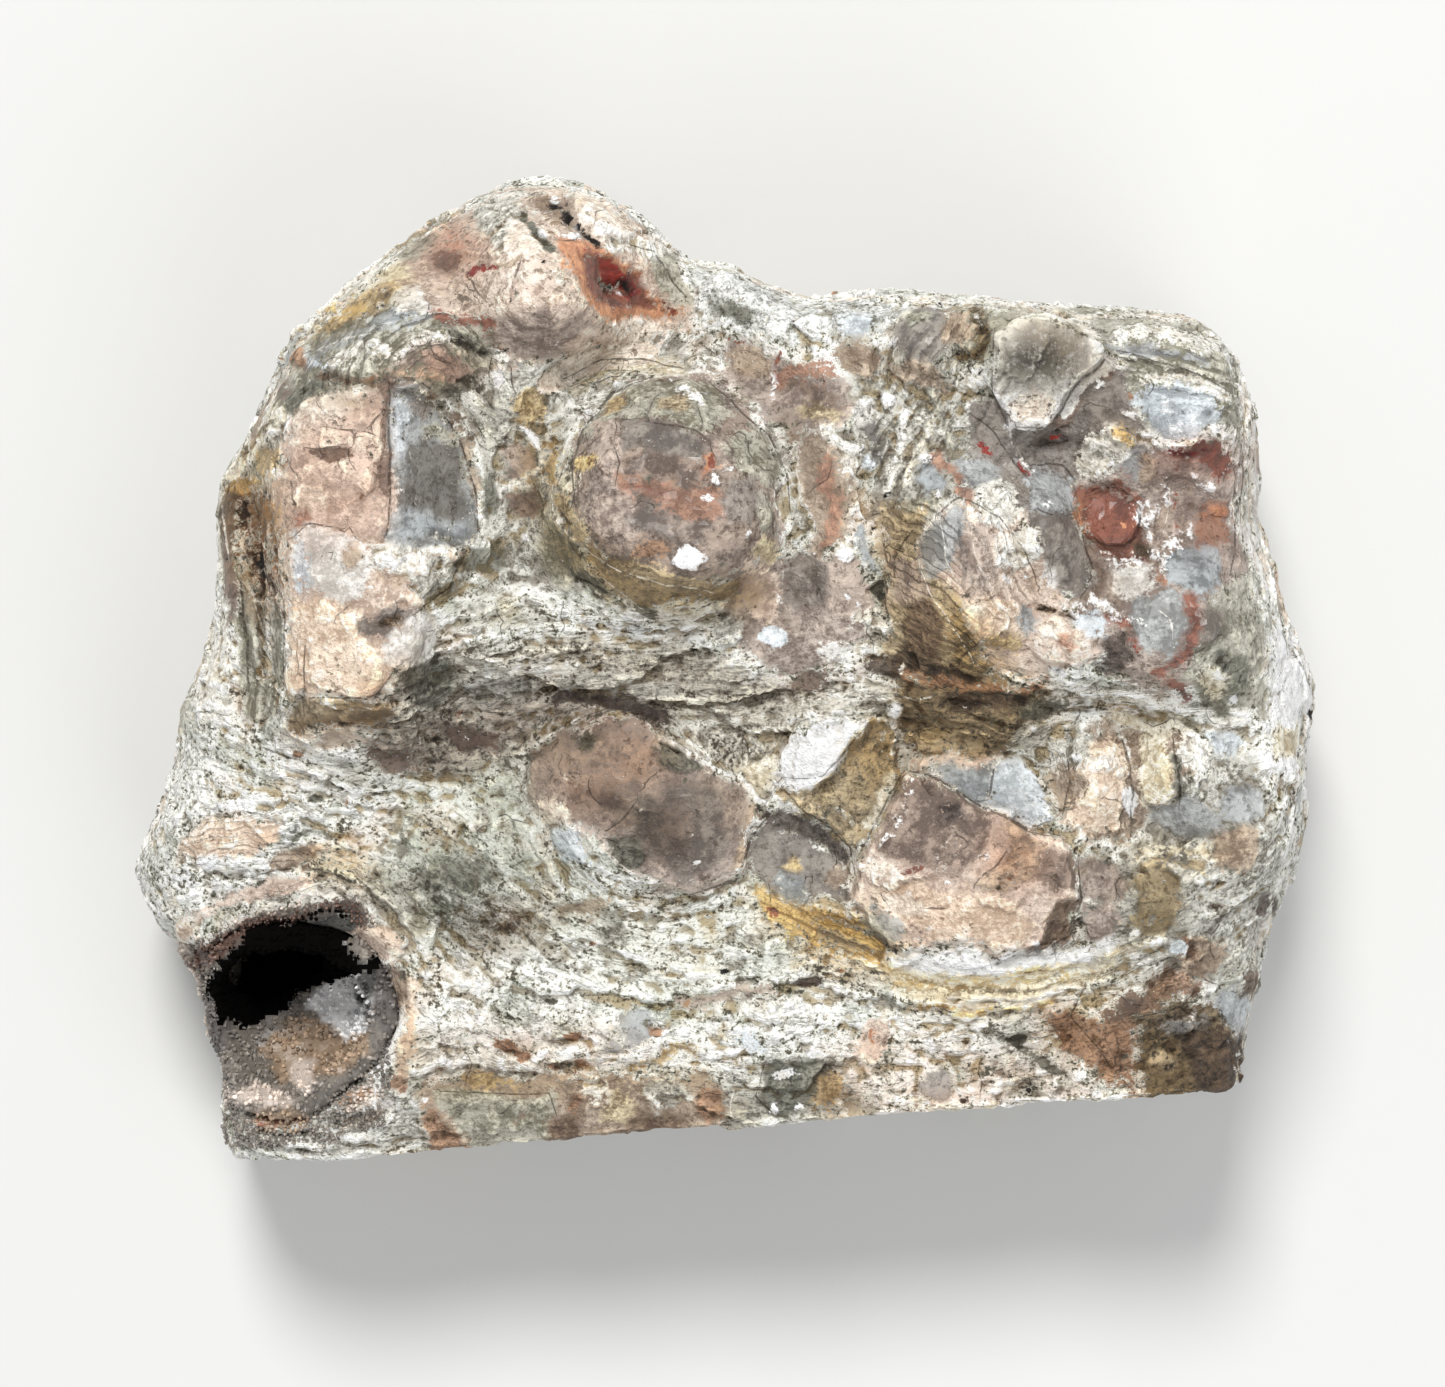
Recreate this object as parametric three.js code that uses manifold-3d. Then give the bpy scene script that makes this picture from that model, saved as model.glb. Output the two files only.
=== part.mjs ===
// Agate chunk: a hand-sized lump of flow-banded rhyolite with agate nodules grown through it. It is sawn
// flat along its front and sits on a flat base. The broken hollow at its front left corner is lined with
// fine crystals.
//
// Millimetres. +X is the lump's right, +Y its back, +Z up. The origin is the centre of the base.
// Two solids: the lump itself, and the crust of crystals in its hollow.
import * as THREE from "three";
import { ImprovedNoise } from "three/addons/math/ImprovedNoise.js";
import { mergeVertices } from "three/addons/utils/BufferGeometryUtils.js";
import Module from "manifold-3d";

const wasm = await Module();
wasm.setup();

// ---- Driving dimensions ----
const waistHeight = 18; // the widest level
const drawIn = 0.00293; // share of its reach that the lump narrows by, for each mm of height over the waist
const leanForward = 0.0524; // mm towards the front, for each mm of height over the waist
const hub = [0, -3]; // plan point that the outline's reach is measured from
const baseCentre = [0.15, 0.5]; // plan point that sits on the origin
const frontCut = { y: -38.6, slope: 0.075 }; // the sawn front: its y on the middle line, and its turn along x
const lumpDetail = 17; // subdivisions of the lump's skin
const floorOfForms = 20; // height of the skin where no form lifts it
const blendWidth = 2.2; // how softly one form runs into the next
const wearRadius = 1.15; // the crown is averaged over a disc of this radius, which rounds its steepest walls
const seatGap = 0.3; // between the lump and the crust
const crustThickness = 1.4;

// The outline at the waist, seen from above, going round from the back of the left dome.
const outline = [
  [-10, 40.4], [-15, 41.9], [-20, 41], [-25, 38.4], [-30, 34.8], [-34, 30.6], [-37.4, 27.8],
  [-38.4, 25], [-40.6, 20.8], [-43.4, 15.5], [-43.5, 9], [-43.4, 4], [-44.4, 0.4], [-46.8, -5],
  [-47.2, -9.5], [-49.4, -15], [-49.5, -19.5], [-47.5, -23.2], [-44, -27.4], [-44.3, -30.4], [-43, -33],
  [-42.8, -36], [-42.2, -42], [-34, -43.4], [-17, -42.6], [0, -41.2], [20, -40], [34, -38.8],
  [43.6, -38.6], [44.1, -31], [45.7, -28], [45.8, -24.5], [48, -19.3], [49.5, -14], [49.9, -6],
  [50.5, -1], [48.2, 4], [46.8, 9.4], [45.6, 12.5], [45.9, 18], [44.9, 24.6], [42.2, 29.4],
  [37, 30.1], [29, 30.8], [20, 31.8], [14, 32.2], [8, 31.3], [4.4, 32.3], [-0.5, 34.8],
  [-3, 34.4], [-4.6, 36.4],
];

// The skin between crown and base: [share of the outline's reach, share of the crown's height].
const sideProfile = [
  [0.945, 1], [0.975, 0.94], [0.995, 0.74], [1, 0.55], [0.985, 0.3], [0.955, 0.1], [0.9, 0],
];
const crownShare = 0.62; // share of the skin's points that lie on the crown
const sideShare = 0.31; // and on the side; the rest lie under the base

// The forms of the crown.
// at: plan centre. reach: half width and half depth. turn: degrees.
// top and foot: heights of the middle and of the rim. flat: share of the reach that stays level.
// tilt: rise per mm along +X and +Y. square: 2 is an ellipse in plan, higher is fuller in the corners.
const forms = [
  // the broad levels: the lower slab of banded rhyolite, and the raised agate ground behind it
  { name: "banded slab", at: [0, -15], reach: [53, 34], top: 30.5, foot: 24, flat: 0.62,
    tilt: [0, 0.05], square: 5 },
  { name: "left plateau", at: [-22, 13.4], reach: [22.6, 19.6], turn: -8, top: 37, foot: 29.5, flat: 0.5,
    square: 2.6 },
  { name: "neck", at: [3, 12], reach: [15, 20], top: 37, foot: 29, flat: 0.5, tilt: [0, -0.03] },
  { name: "right plateau", at: [28, 13.6], reach: [21, 19.6], top: 38, foot: 28, flat: 0.66, square: 3.4 },
  { name: "left shoulder", at: [-37, -13], reach: [15, 12], turn: 12, top: 30, foot: 21, flat: 0.3,
    tilt: [0.06, 0] },
  { name: "back slope", at: [6, 24], reach: [18, 14], top: 33.5, foot: 22, flat: 0.4, tilt: [0, -0.1] },
  { name: "left apron", at: [-42, 4], reach: [6.5, 18], turn: 3, top: 30.5, foot: 21, flat: 0.4 },
  { name: "right apron", at: [43, -10], reach: [9, 18], top: 32.5, foot: 22, flat: 0.35 },
  // nodules at the left
  { name: "pink face", at: [-31.6, 9.4], reach: [8.6, 18.4], turn: -2, top: 40.4, foot: 33, flat: 0.62,
    tilt: [0.05, 0.02], square: 3.4 },
  { name: "arched shoulder", at: [-27.6, 25.4], reach: [12.6, 8], turn: 38, top: 40.6, foot: 31, flat: 0.3 },
  { name: "back dome", at: [-15, 32], reach: [13.8, 11.2], turn: 8, top: 41.6, foot: 25, flat: 0.2 },
  { name: "round nodule", at: [-4.6, 13.6], reach: [11.8, 11], turn: -10, top: 44, foot: 36, flat: 0.52,
    tilt: [-0.03, -0.03] },
  { name: "slope under it", at: [-5, 0], reach: [20, 9], turn: -4, top: 34.6, foot: 29.5, flat: 0.2 },
  // nodules at the right
  { name: "swirled neck", at: [9.4, 13], reach: [7.6, 17], turn: 8, top: 40, foot: 36, flat: 0.2 },
  { name: "grey lens", at: [17.4, 27], reach: [5.4, 5.4], top: 40.4, foot: 33, flat: 0.15 },
  { name: "cream shell", at: [26.4, 25], reach: [9, 6.4], turn: -24, top: 42.6, foot: 36, flat: 0.4,
    tilt: [0, 0.12] },
  { name: "green shoulder", at: [37.4, 22.4], reach: [10.6, 10], turn: -18, top: 40.4, foot: 27, flat: 0.5,
    tilt: [-0.06, 0.04], square: 2.8 },
  { name: "fan nodule", at: [19.4, 8.4], reach: [8, 13], turn: -14, top: 42.2, foot: 36, flat: 0.34,
    tilt: [0.07, 0.02] },
  { name: "grey botryoid", at: [27.6, 11], reach: [5.4, 8.6], turn: 28, top: 41.8, foot: 36, flat: 0.1 },
  { name: "orange bump", at: [28.6, 2], reach: [5.4, 4.6], top: 40.2, foot: 35, flat: 0 },
  { name: "striped nodule", at: [38, 2.8], reach: [8, 7.4], top: 40, foot: 33, flat: 0.4, tilt: [-0.03, 0] },
  { name: "green knob", at: [43.6, -1], reach: [4.4, 5.4], top: 36, foot: 29, flat: 0 },
  // nodules and facets of the lower slab
  { name: "grey mass", at: [-7.4, -12], reach: [11.6, 9.2], turn: -16, top: 34.4, foot: 30.5, flat: 0.5,
    tilt: [0.04, 0.03] },
  { name: "cream facet", at: [8.6, -8], reach: [6.4, 7.4], turn: -40, top: 34.8, foot: 30.5, flat: 0.3,
    tilt: [0.1, 0.06] },
  { name: "brown ledge", at: [21, -3.8], reach: [10, 5], turn: -8, top: 36.4, foot: 31, flat: 0.3,
    tilt: [0, 0.1] },
  { name: "rose nodule", at: [20.6, -15.6], reach: [12, 10.6], turn: -12, top: 36.4, foot: 30.5, flat: 0.5,
    tilt: [0.02, 0.09] },
  { name: "tan lump", at: [31.6, -9.4], reach: [5.6, 7], turn: 8, top: 36.6, foot: 31, flat: 0.2 },
  { name: "cream lump", at: [39, -8.6], reach: [6.4, 5.8], top: 35.6, foot: 30, flat: 0.3 },
  { name: "olive lump", at: [36.8, -19.4], reach: [7, 5.6], top: 33.6, foot: 29.5, flat: 0.2 },
  { name: "corner block", at: [40, -33], reach: [6, 7.4], top: 28.6, foot: 24, flat: 0.7, square: 5 },
];

// Ledges of the crown: lines from left to right, in front of which the ground drops.
const ledges = [
  { name: "nodule step", line: [[12, 0], [17, -4.4], [24, -6.6], [32, -4.6], [46, -4.4]], drop: 2,
    width: 1.6 },
  { name: "stripe ledge", line: [[6, -24.4], [14, -26.4], [23, -27.4], [34, -25]], drop: 1.3, width: 1.3 },
  { name: "front ledge", line: [[-27, -32.8], [-12, -33.6], [6, -32.6], [30, -31]], drop: 1.8, width: 1.5 },
  { name: "corner ledge", line: [[34, -28.4], [45, -27.4]], drop: 1.6, width: 1.2 },
  { name: "middle ledge", line: [[-24, -20], [-10, -21.4], [2, -20.6]], drop: 1.1, width: 1.6 },
];

// Pits and grooves of the crown, each a round-bottomed cut along a line of plan points.
const cuts = [
  { name: "left crevice", along: [[-40.6, 16], [-40, 10], [-39.4, 4], [-38.6, -3]], width: 2, depth: 5.5 },
  { name: "grey window", along: [[-25.8, 20], [-25, 13]], width: 3.4, depth: 1.7 },
  { name: "red bowl", along: [[-10.5, 33.4], [-7.4, 31.8]], width: 3.6, depth: 1.6 },
  { name: "red pit", along: [[-9.6, 32.8], [-8.2, 31.8]], width: 1.6, depth: 2.6 },
  { name: "dome crack", along: [[-14.2, 38.8], [-11, 36]], width: 1.1, depth: 1.8 },
  { name: "nodule moat", along: [[-17.8, 8], [-17.4, 17], [-13, 23.6], [-4, 26.4], [4, 24]], width: 2.4,
    depth: 2.6 },
  { name: "broken window", along: [[-7, 17.6], [-2.6, 17]], width: 4, depth: 1.3 },
  { name: "neck furrow", along: [[6, 22], [8, 14], [7, 7], [2, 3.4]], width: 2, depth: 1.8 },
  { name: "fan furrow", along: [[12.8, 18], [13.4, 9], [14.2, 2]], width: 2, depth: 2.2 },
  { name: "mauve bowl", along: [[29.4, 21.6], [33, 23.6]], width: 3, depth: 2.2 },
  { name: "carnelian basin", along: [[35, 13], [41, 13.4]], width: 5, depth: 1.8 },
  { name: "basin furrow", along: [[26, 18], [30.4, 16], [31, 9], [33, 6]], width: 1.7, depth: 1.8 },
  { name: "shell crack", along: [[32, 27.2], [40, 25.2]], width: 1.1, depth: 1.6 },
  { name: "facet seam", along: [[3.8, -12], [1.2, -19.6]], width: 1.4, depth: 1.4 },
  { name: "olive seam", along: [[14, -5.4], [14.4, -9], [10.6, -16]], width: 1.6, depth: 1.9 },
  { name: "blue facet", along: [[22.4, -10], [26, -11]], width: 2.8, depth: 1.5 },
  { name: "lump seam", along: [[34.6, -5.6], [35.4, -13]], width: 1.4, depth: 1.8 },
  { name: "olive pit", along: [[37.6, -18.6], [37.8, -21]], width: 1.5, depth: 1.6 },
];

// Small raised balls and flakes of the crown.
const knobs = [
  { name: "carnelian ball", at: [33.3, 12.2], radius: 2.9, rise: 1.8 },
  { name: "edge knob", at: [44.4, -27.4], radius: 1.8, rise: 2 },
  { name: "dome flake", at: [-10.6, 38.2], radius: 2.6, rise: 1 },
  { name: "white crust", at: [-3, 9], radius: 2, rise: 0.8 },
];

// The hollow: a bowl that is open to the sky, and a cave that runs in under the back lip from it.
// turn and tip are degrees about +Z and +X.
const hollow = {
  bowl: { at: [-37.2, -30, 26.4], half: [9.8, 8, 9.4], turn: 20, tip: 0 },
  cave: { at: [-38.2, -23.8, 17.4], half: [8.2, 6, 9.2], turn: 20, tip: 8 },
};
const crystalRoughness = 0.6; // mm that one crystal stands over the next, in the crust's faceted skin

// ---- Small helpers ----
const noise = new ImprovedNoise();
const edgeSeed = 2.5; // row of the noise that bends the ledges
const degrees = Math.PI / 180;

const mix = (a, b, t) => a + (b - a) * t;
const clamp01 = (t) => Math.min(1, Math.max(0, t));
const easeStep = (a, b, x) => {
  const t = clamp01((x - a) / (b - a));
  return t * t * (3 - 2 * t);
};

// The higher of two heights, rounded where they cross.
const softMax = (a, b, width) => {
  const h = Math.max(width - Math.abs(a - b), 0) / width;
  return Math.max(a, b) + h * h * width * 0.25;
};

// Layered noise between about -1 and 1, at a given size in mm.
const rough = (x, y, z, size) => {
  const [a, b, c] = [x / size, y / size, z / size];
  return noise.noise(a, b, c) + 0.5 * noise.noise(2.1 * a + 7, 2.1 * b, 2.1 * c + 3);
};

const distanceToLine = (u, v, points) => {
  let nearest = Infinity;
  for (let i = 0; i + 1 < points.length; i++) {
    const [ax, ay] = points[i];
    const [bx, by] = points[i + 1];
    const [dx, dy] = [bx - ax, by - ay];
    const t = clamp01(((u - ax) * dx + (v - ay) * dy) / (dx * dx + dy * dy));
    nearest = Math.min(nearest, Math.hypot(u - ax - t * dx, v - ay - t * dy));
  }
  return nearest;
};

// ---- The crown's height at a plan point ----
const formHeight = ({ at, reach, turn = 0, top, foot, flat = 0, tilt = [0, 0], square = 2 }, u, v) => {
  const c = Math.cos(turn * degrees);
  const s = Math.sin(turn * degrees);
  const across = Math.abs((u - at[0]) * c + (v - at[1]) * s) / reach[0];
  const along = Math.abs((v - at[1]) * c - (u - at[0]) * s) / reach[1];
  const r = (across ** square + along ** square) ** (1 / square);
  const fall = easeStep(flat, 1, r) + 2.5 * Math.max(0, r - 1); // past the rim it goes on falling gently
  const lift = 1 - easeStep(0.8, 1.4, r); // the tilt fades out past the rim
  return top - (top - foot) * fall + lift * (tilt[0] * (u - at[0]) + tilt[1] * (v - at[1]));
};

// How far the ground in front of a ledge has dropped at a plan point.
const ledgeDrop = ({ line, drop, width }, u, v) => {
  const i = Math.max(1, Math.min(line.length - 1, line.findIndex(([x]) => x > u)));
  const [[ax, ay], [bx, by]] = [line[i - 1], line[i]];
  const edge = mix(ay, by, (u - ax) / (bx - ax)) + 0.8 * noise.noise(u / 4, edgeSeed, 0);
  const [from, to] = [line[0][0], line.at(-1)[0]];
  const ends = easeStep(from - 2, from + 3, u) * (1 - easeStep(to - 3, to + 2, u));
  const healed = 1 - easeStep(4, 14, edge - v); // the ground comes back up further out
  return drop * ends * healed * easeStep(-width, width, edge - v);
};

const groundHeight = (u, v) => {
  let height = floorOfForms;
  for (const form of forms) height = softMax(height, formHeight(form, u, v), blendWidth);
  for (const ledge of ledges) height -= ledgeDrop(ledge, u, v);
  for (const { along, width, depth } of cuts) {
    height -= depth * Math.exp(-((distanceToLine(u, v, along) / width) ** 2));
  }
  for (const { at, radius, rise } of knobs) {
    const r = Math.hypot(u - at[0], v - at[1]) / radius;
    if (r < 1) height += rise * Math.sqrt(1 - r * r);
  }
  const lumpy = 0.9 * rough(u, v, 0, 8);
  const banded = 0.5 * rough(u * 0.4, v * 1.7, 5, 4); // runs along the banding, left to right
  return height + lumpy + banded;
};

const crownHeight = (u, v) => {
  let sum = groundHeight(u, v);
  for (let turn = 0; turn < 360; turn += 60) {
    sum += groundHeight(u + wearRadius * Math.cos(turn * degrees), v + wearRadius * Math.sin(turn * degrees));
  }
  return sum / 7;
};

// ---- The outline as a reach for each direction from the hub ----
const outlineCurve = new THREE.CatmullRomCurve3(
  outline.map(([u, v]) => new THREE.Vector3(u - hub[0], v - hub[1], 0)), true, "centripetal",
);
const reachTable = outlineCurve
  .getPoints(1200)
  .map((p) => [Math.atan2(p.y, p.x), Math.hypot(p.x, p.y)])
  .sort((a, b) => a[0] - b[0]);

const outlineReach = (angle) => {
  let low = 0;
  let high = reachTable.length - 1;
  if (angle <= reachTable[low][0] || angle >= reachTable[high][0]) return reachTable[low][1];
  while (high - low > 1) {
    const middle = (low + high) >> 1;
    if (reachTable[middle][0] <= angle) low = middle;
    else high = middle;
  }
  const [[a, ra], [b, rb]] = [reachTable[low], reachTable[high]];
  return mix(ra, rb, b > a ? (angle - a) / (b - a) : 0);
};

// Narrows and leans the lump with height, and puts the base's centre on the origin.
const stand = (u, v, z) => {
  const over = z - waistHeight;
  const narrowed = 1 - drawIn * over;
  return new THREE.Vector3(
    u * narrowed - baseCentre[0],
    v * narrowed - leanForward * over - baseCentre[1],
    z,
  );
};

// ---- Solids ----
const solidOf = (geometry) => {
  geometry.deleteAttribute("normal");
  geometry.deleteAttribute("uv");
  const merged = mergeVertices(geometry, 1e-4);
  return new wasm.Manifold(
    new wasm.Mesh({
      numProp: 3,
      vertProperties: new Float32Array(merged.attributes.position.array),
      triVerts: new Uint32Array(merged.index.array),
    }),
  );
};

const geometryOf = (solid) => {
  const { numProp, numVert, vertProperties, triVerts } = solid.getMesh();
  const positions = new Float32Array(numVert * 3);
  for (let i = 0; i < numVert; i++) {
    positions.set(vertProperties.subarray(i * numProp, i * numProp + 3), i * 3);
  }
  const geometry = new THREE.BufferGeometry();
  geometry.setAttribute("position", new THREE.BufferAttribute(positions, 3));
  geometry.setIndex(new THREE.BufferAttribute(new Uint32Array(triVerts), 1));
  geometry.computeVertexNormals();
  return geometry;
};

// A ball whose points are moved by place(direction), with its faces kept pointing out.
const shapedBall = (detail, place) => {
  const ball = mergeVertices(
    new THREE.IcosahedronGeometry(1, detail).deleteAttribute("normal").deleteAttribute("uv"), 1e-5,
  );
  const position = ball.attributes.position;
  const direction = new THREE.Vector3();
  for (let i = 0; i < position.count; i++) {
    const p = place(direction.fromBufferAttribute(position, i).normalize());
    position.setXYZ(i, p.x, p.y, p.z);
  }
  return solidOf(ball);
};

// The uncut lump: crown, side and base are bands of one ball's skin.
const sideCurve = new THREE.SplineCurve(sideProfile.map(([r, h]) => new THREE.Vector2(r, h)));
const lumpPoint = (direction) => {
  const angle = Math.atan2(direction.y, direction.x);
  const share = (1 - direction.z) / 2; // of the skin's points that lie above this one
  const reach = outlineReach(angle);
  const [rimReach, baseReach] = [sideProfile[0][0], sideProfile.at(-1)[0]];
  let radius;
  let heightShare;
  if (share < crownShare) {
    radius = rimReach * Math.sqrt(share / crownShare);
    heightShare = 1;
  } else if (share < crownShare + sideShare) {
    const p = sideCurve.getPoint((share - crownShare) / sideShare);
    radius = p.x;
    heightShare = Math.max(0, p.y);
  } else {
    radius = baseReach * Math.sqrt((1 - share) / (1 - crownShare - sideShare));
    heightShare = 0;
  }
  const u = hub[0] + reach * radius * Math.cos(angle);
  const v = hub[1] + reach * radius * Math.sin(angle);
  const z = crownHeight(u, v) * heightShare;
  const sideOnly = easeStep(0.93, 1, radius) * easeStep(0, 0.3, heightShare) * easeStep(1, 0.88, heightShare);
  const lumps = 0.016 * rough(u, v, z * 1.4, 12) + 0.012 * rough(u * 0.7, v * 0.7, z * 2, 5);
  const bulge = 1 + sideOnly * (lumps - 0.007);
  return stand(hub[0] + (u - hub[0]) * bulge, hub[1] + (v - hub[1]) * bulge, z);
};

// A long box in front of the sawn face.
const frontBox = () => {
  const size = 200;
  const box = new THREE.BoxGeometry(size, size, size).translate(0, -size / 2, size / 2 - 20);
  box.rotateZ(Math.atan(frontCut.slope)).translate(-baseCentre[0], frontCut.y - baseCentre[1], 0);
  return solidOf(box);
};

// One ellipsoid of the hollow, drawn in from its wall by inset, with its skin roughened.
const hollowPart = ({ at, half, turn, tip }, inset, detail, roughness) => {
  const rotation = new THREE.Euler(tip * degrees, 0, turn * degrees, "ZYX");
  const centre = stand(...at);
  return shapedBall(detail, (d) => {
    const p = new THREE.Vector3(d.x * (half[0] - inset), d.y * (half[1] - inset), d.z * (half[2] - inset));
    const wave = 0.8 * rough(at[0] + d.x * 8, at[1] + d.y * 8, at[2] + d.z * 8, 6);
    const facet = roughness * noise.noise(d.x * 31.7, d.y * 31.7, d.z * 31.7);
    return p.addScaledVector(d, wave + facet).applyEuler(rotation).add(centre);
  });
};
const hollowSolid = (inset, detail, roughness) =>
  hollowPart(hollow.bowl, inset, detail, roughness).add(
    hollowPart(hollow.cave, inset, detail, roughness),
  );

const uncutLump = shapedBall(lumpDetail, lumpPoint).subtract(frontBox());
const lump = uncutLump.subtract(hollowSolid(0, 4, 0));
const crust = hollowSolid(seatGap, 4, 0)
  .subtract(hollowSolid(seatGap + crustThickness, 5, crystalRoughness))
  .intersect(uncutLump);

const largestBody = (solid) => solid.decompose().sort((a, b) => b.volume() - a.volume())[0];

// ---- Named meshes ----
const finishes = {
  banded: new THREE.MeshStandardMaterial({ color: 0xb5a695, roughness: 0.82, metalness: 0 }),
  crystals: new THREE.MeshStandardMaterial({ color: 0x6f655c, roughness: 0.45, metalness: 0 }),
};

const pieceOf = (name, solid, finish) => {
  const mesh = new THREE.Mesh(geometryOf(solid), finish);
  mesh.name = name;
  return mesh;
};

const chunk = new THREE.Group();
chunk.name = "agate_chunk";
chunk.add(pieceOf("banded_lump", largestBody(lump), finishes.banded));
chunk.add(pieceOf("crystal_crust", largestBody(crust), finishes.crystals));

export default chunk;
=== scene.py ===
import math

import bpy
import numpy as np
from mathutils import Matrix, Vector
from mathutils.bvhtree import BVHTree


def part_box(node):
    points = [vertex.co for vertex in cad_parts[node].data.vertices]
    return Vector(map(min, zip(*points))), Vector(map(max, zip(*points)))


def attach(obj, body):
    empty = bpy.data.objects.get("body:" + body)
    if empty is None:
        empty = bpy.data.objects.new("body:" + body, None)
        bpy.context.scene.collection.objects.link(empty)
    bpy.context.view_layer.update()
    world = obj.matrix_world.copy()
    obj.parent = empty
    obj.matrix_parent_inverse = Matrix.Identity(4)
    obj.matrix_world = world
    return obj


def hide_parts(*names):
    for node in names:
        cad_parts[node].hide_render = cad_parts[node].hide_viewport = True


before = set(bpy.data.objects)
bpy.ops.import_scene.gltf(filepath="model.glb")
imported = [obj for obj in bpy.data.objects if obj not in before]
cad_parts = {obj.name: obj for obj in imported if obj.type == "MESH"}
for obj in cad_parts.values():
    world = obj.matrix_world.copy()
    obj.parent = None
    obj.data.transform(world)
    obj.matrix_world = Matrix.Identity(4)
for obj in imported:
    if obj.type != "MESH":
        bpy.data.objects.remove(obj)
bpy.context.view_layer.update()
scene = bpy.context.scene
mm = 0.001
print("frame loaded")

# how the lump stands, in mm: plan points (u, v) lie at its waist, and it draws in and leans above that
stand = {"waist": 18, "drawIn": 0.00293, "lean": 0.0524, "centre": (0.15, 0.5)}
sawnFront = {"y": -39.09, "slope": 0.075}


def planOf(points):
    over = points[:, 2] - stand["waist"]
    shrink = 1 - stand["drawIn"] * over
    u = (points[:, 0] + stand["centre"][0]) / shrink
    v = (points[:, 1] + stand["centre"][1] + stand["lean"] * over) / shrink
    return u, v


def standPoint(u, v, z):
    over = z - stand["waist"]
    shrink = 1 - stand["drawIn"] * over
    return Vector((u * shrink - stand["centre"][0],
                   v * shrink - stand["lean"] * over - stand["centre"][1], z)) * mm


# camera, light and floor: places and sizes in mm
view = {"lens": 100, "sensor": 36, "nearest": 10, "distance": 341.6, "tilt": 3, "lookAt": (-0.13, -2.43)}
light = {
    "aim": (0, 0, 20),
    "key": {"place": (-110, 560, 880), "size": 340, "power": 10, "tint": (1, 0.99, 0.97)},
    "fill": {"place": (200, -330, 420), "size": 400, "power": 1.1, "tint": (0.98, 0.99, 1)},
    "sky": {"strength": 0.52, "tint": (0.97, 0.98, 1, 1)},
}


def aim(item, place, target):
    item.location = place
    item.rotation_euler = (target - place).to_track_quat("-Z", "Y").to_euler()


def addCamera():
    data = bpy.data.cameras.new("camera")
    data.lens, data.sensor_width, data.sensor_fit = view["lens"], view["sensor"], "HORIZONTAL"
    data.clip_start = view["nearest"] * mm
    camera = bpy.data.objects.new("camera", data)
    scene.collection.objects.link(camera)
    target = standPoint(*view["lookAt"], stand["waist"])
    tilt = math.radians(view["tilt"])
    aim(camera, target + Vector((0, -math.sin(tilt), math.cos(tilt))) * view["distance"] * mm, target)
    scene.camera = camera


def addLight(name, look):
    data = bpy.data.lights.new(name, "AREA")
    data.shape, data.size, data.energy, data.color = "DISK", look["size"] * mm, look["power"], look["tint"]
    lamp = bpy.data.objects.new(name, data)
    scene.collection.objects.link(lamp)
    aim(lamp, Vector(look["place"]) * mm, Vector(light["aim"]) * mm)


addCamera()
addLight("key", light["key"])
addLight("fill", light["fill"])
scene.view_settings.view_transform = "Standard"
world = bpy.data.worlds.new("sky")
world.use_nodes = True
skyGlow = world.node_tree.nodes["Background"]
skyGlow.inputs["Color"].default_value = light["sky"]["tint"]
skyGlow.inputs["Strength"].default_value = light["sky"]["strength"]
scene.world = world
print("camera and light placed")


class Wire:  # one socket of a material, with arithmetic that adds Math nodes
    def __init__(self, shader, socket):
        self.shader, self.socket = shader, socket

    def math(self, operation, *values):
        return self.shader.node("ShaderNodeMath", {"operation": operation}, dict(enumerate(values)))

    def __add__(self, other):
        return self.math("ADD", self, other)

    def __radd__(self, other):
        return self.math("ADD", other, self)

    def __sub__(self, other):
        return self.math("SUBTRACT", self, other)

    def __rsub__(self, other):
        return self.math("SUBTRACT", other, self)

    def __mul__(self, other):
        return self.math("MULTIPLY", self, other)

    def __rmul__(self, other):
        return self.math("MULTIPLY", other, self)

    def __abs__(self):
        return self.math("ABSOLUTE", self)

    def step(self, low, high):  # eases from 0 at low to 1 at high
        return self.shader.node("ShaderNodeMapRange", {"interpolation_type": "SMOOTHSTEP"},
                                {"Value": self, "From Min": low, "From Max": high})


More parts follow.
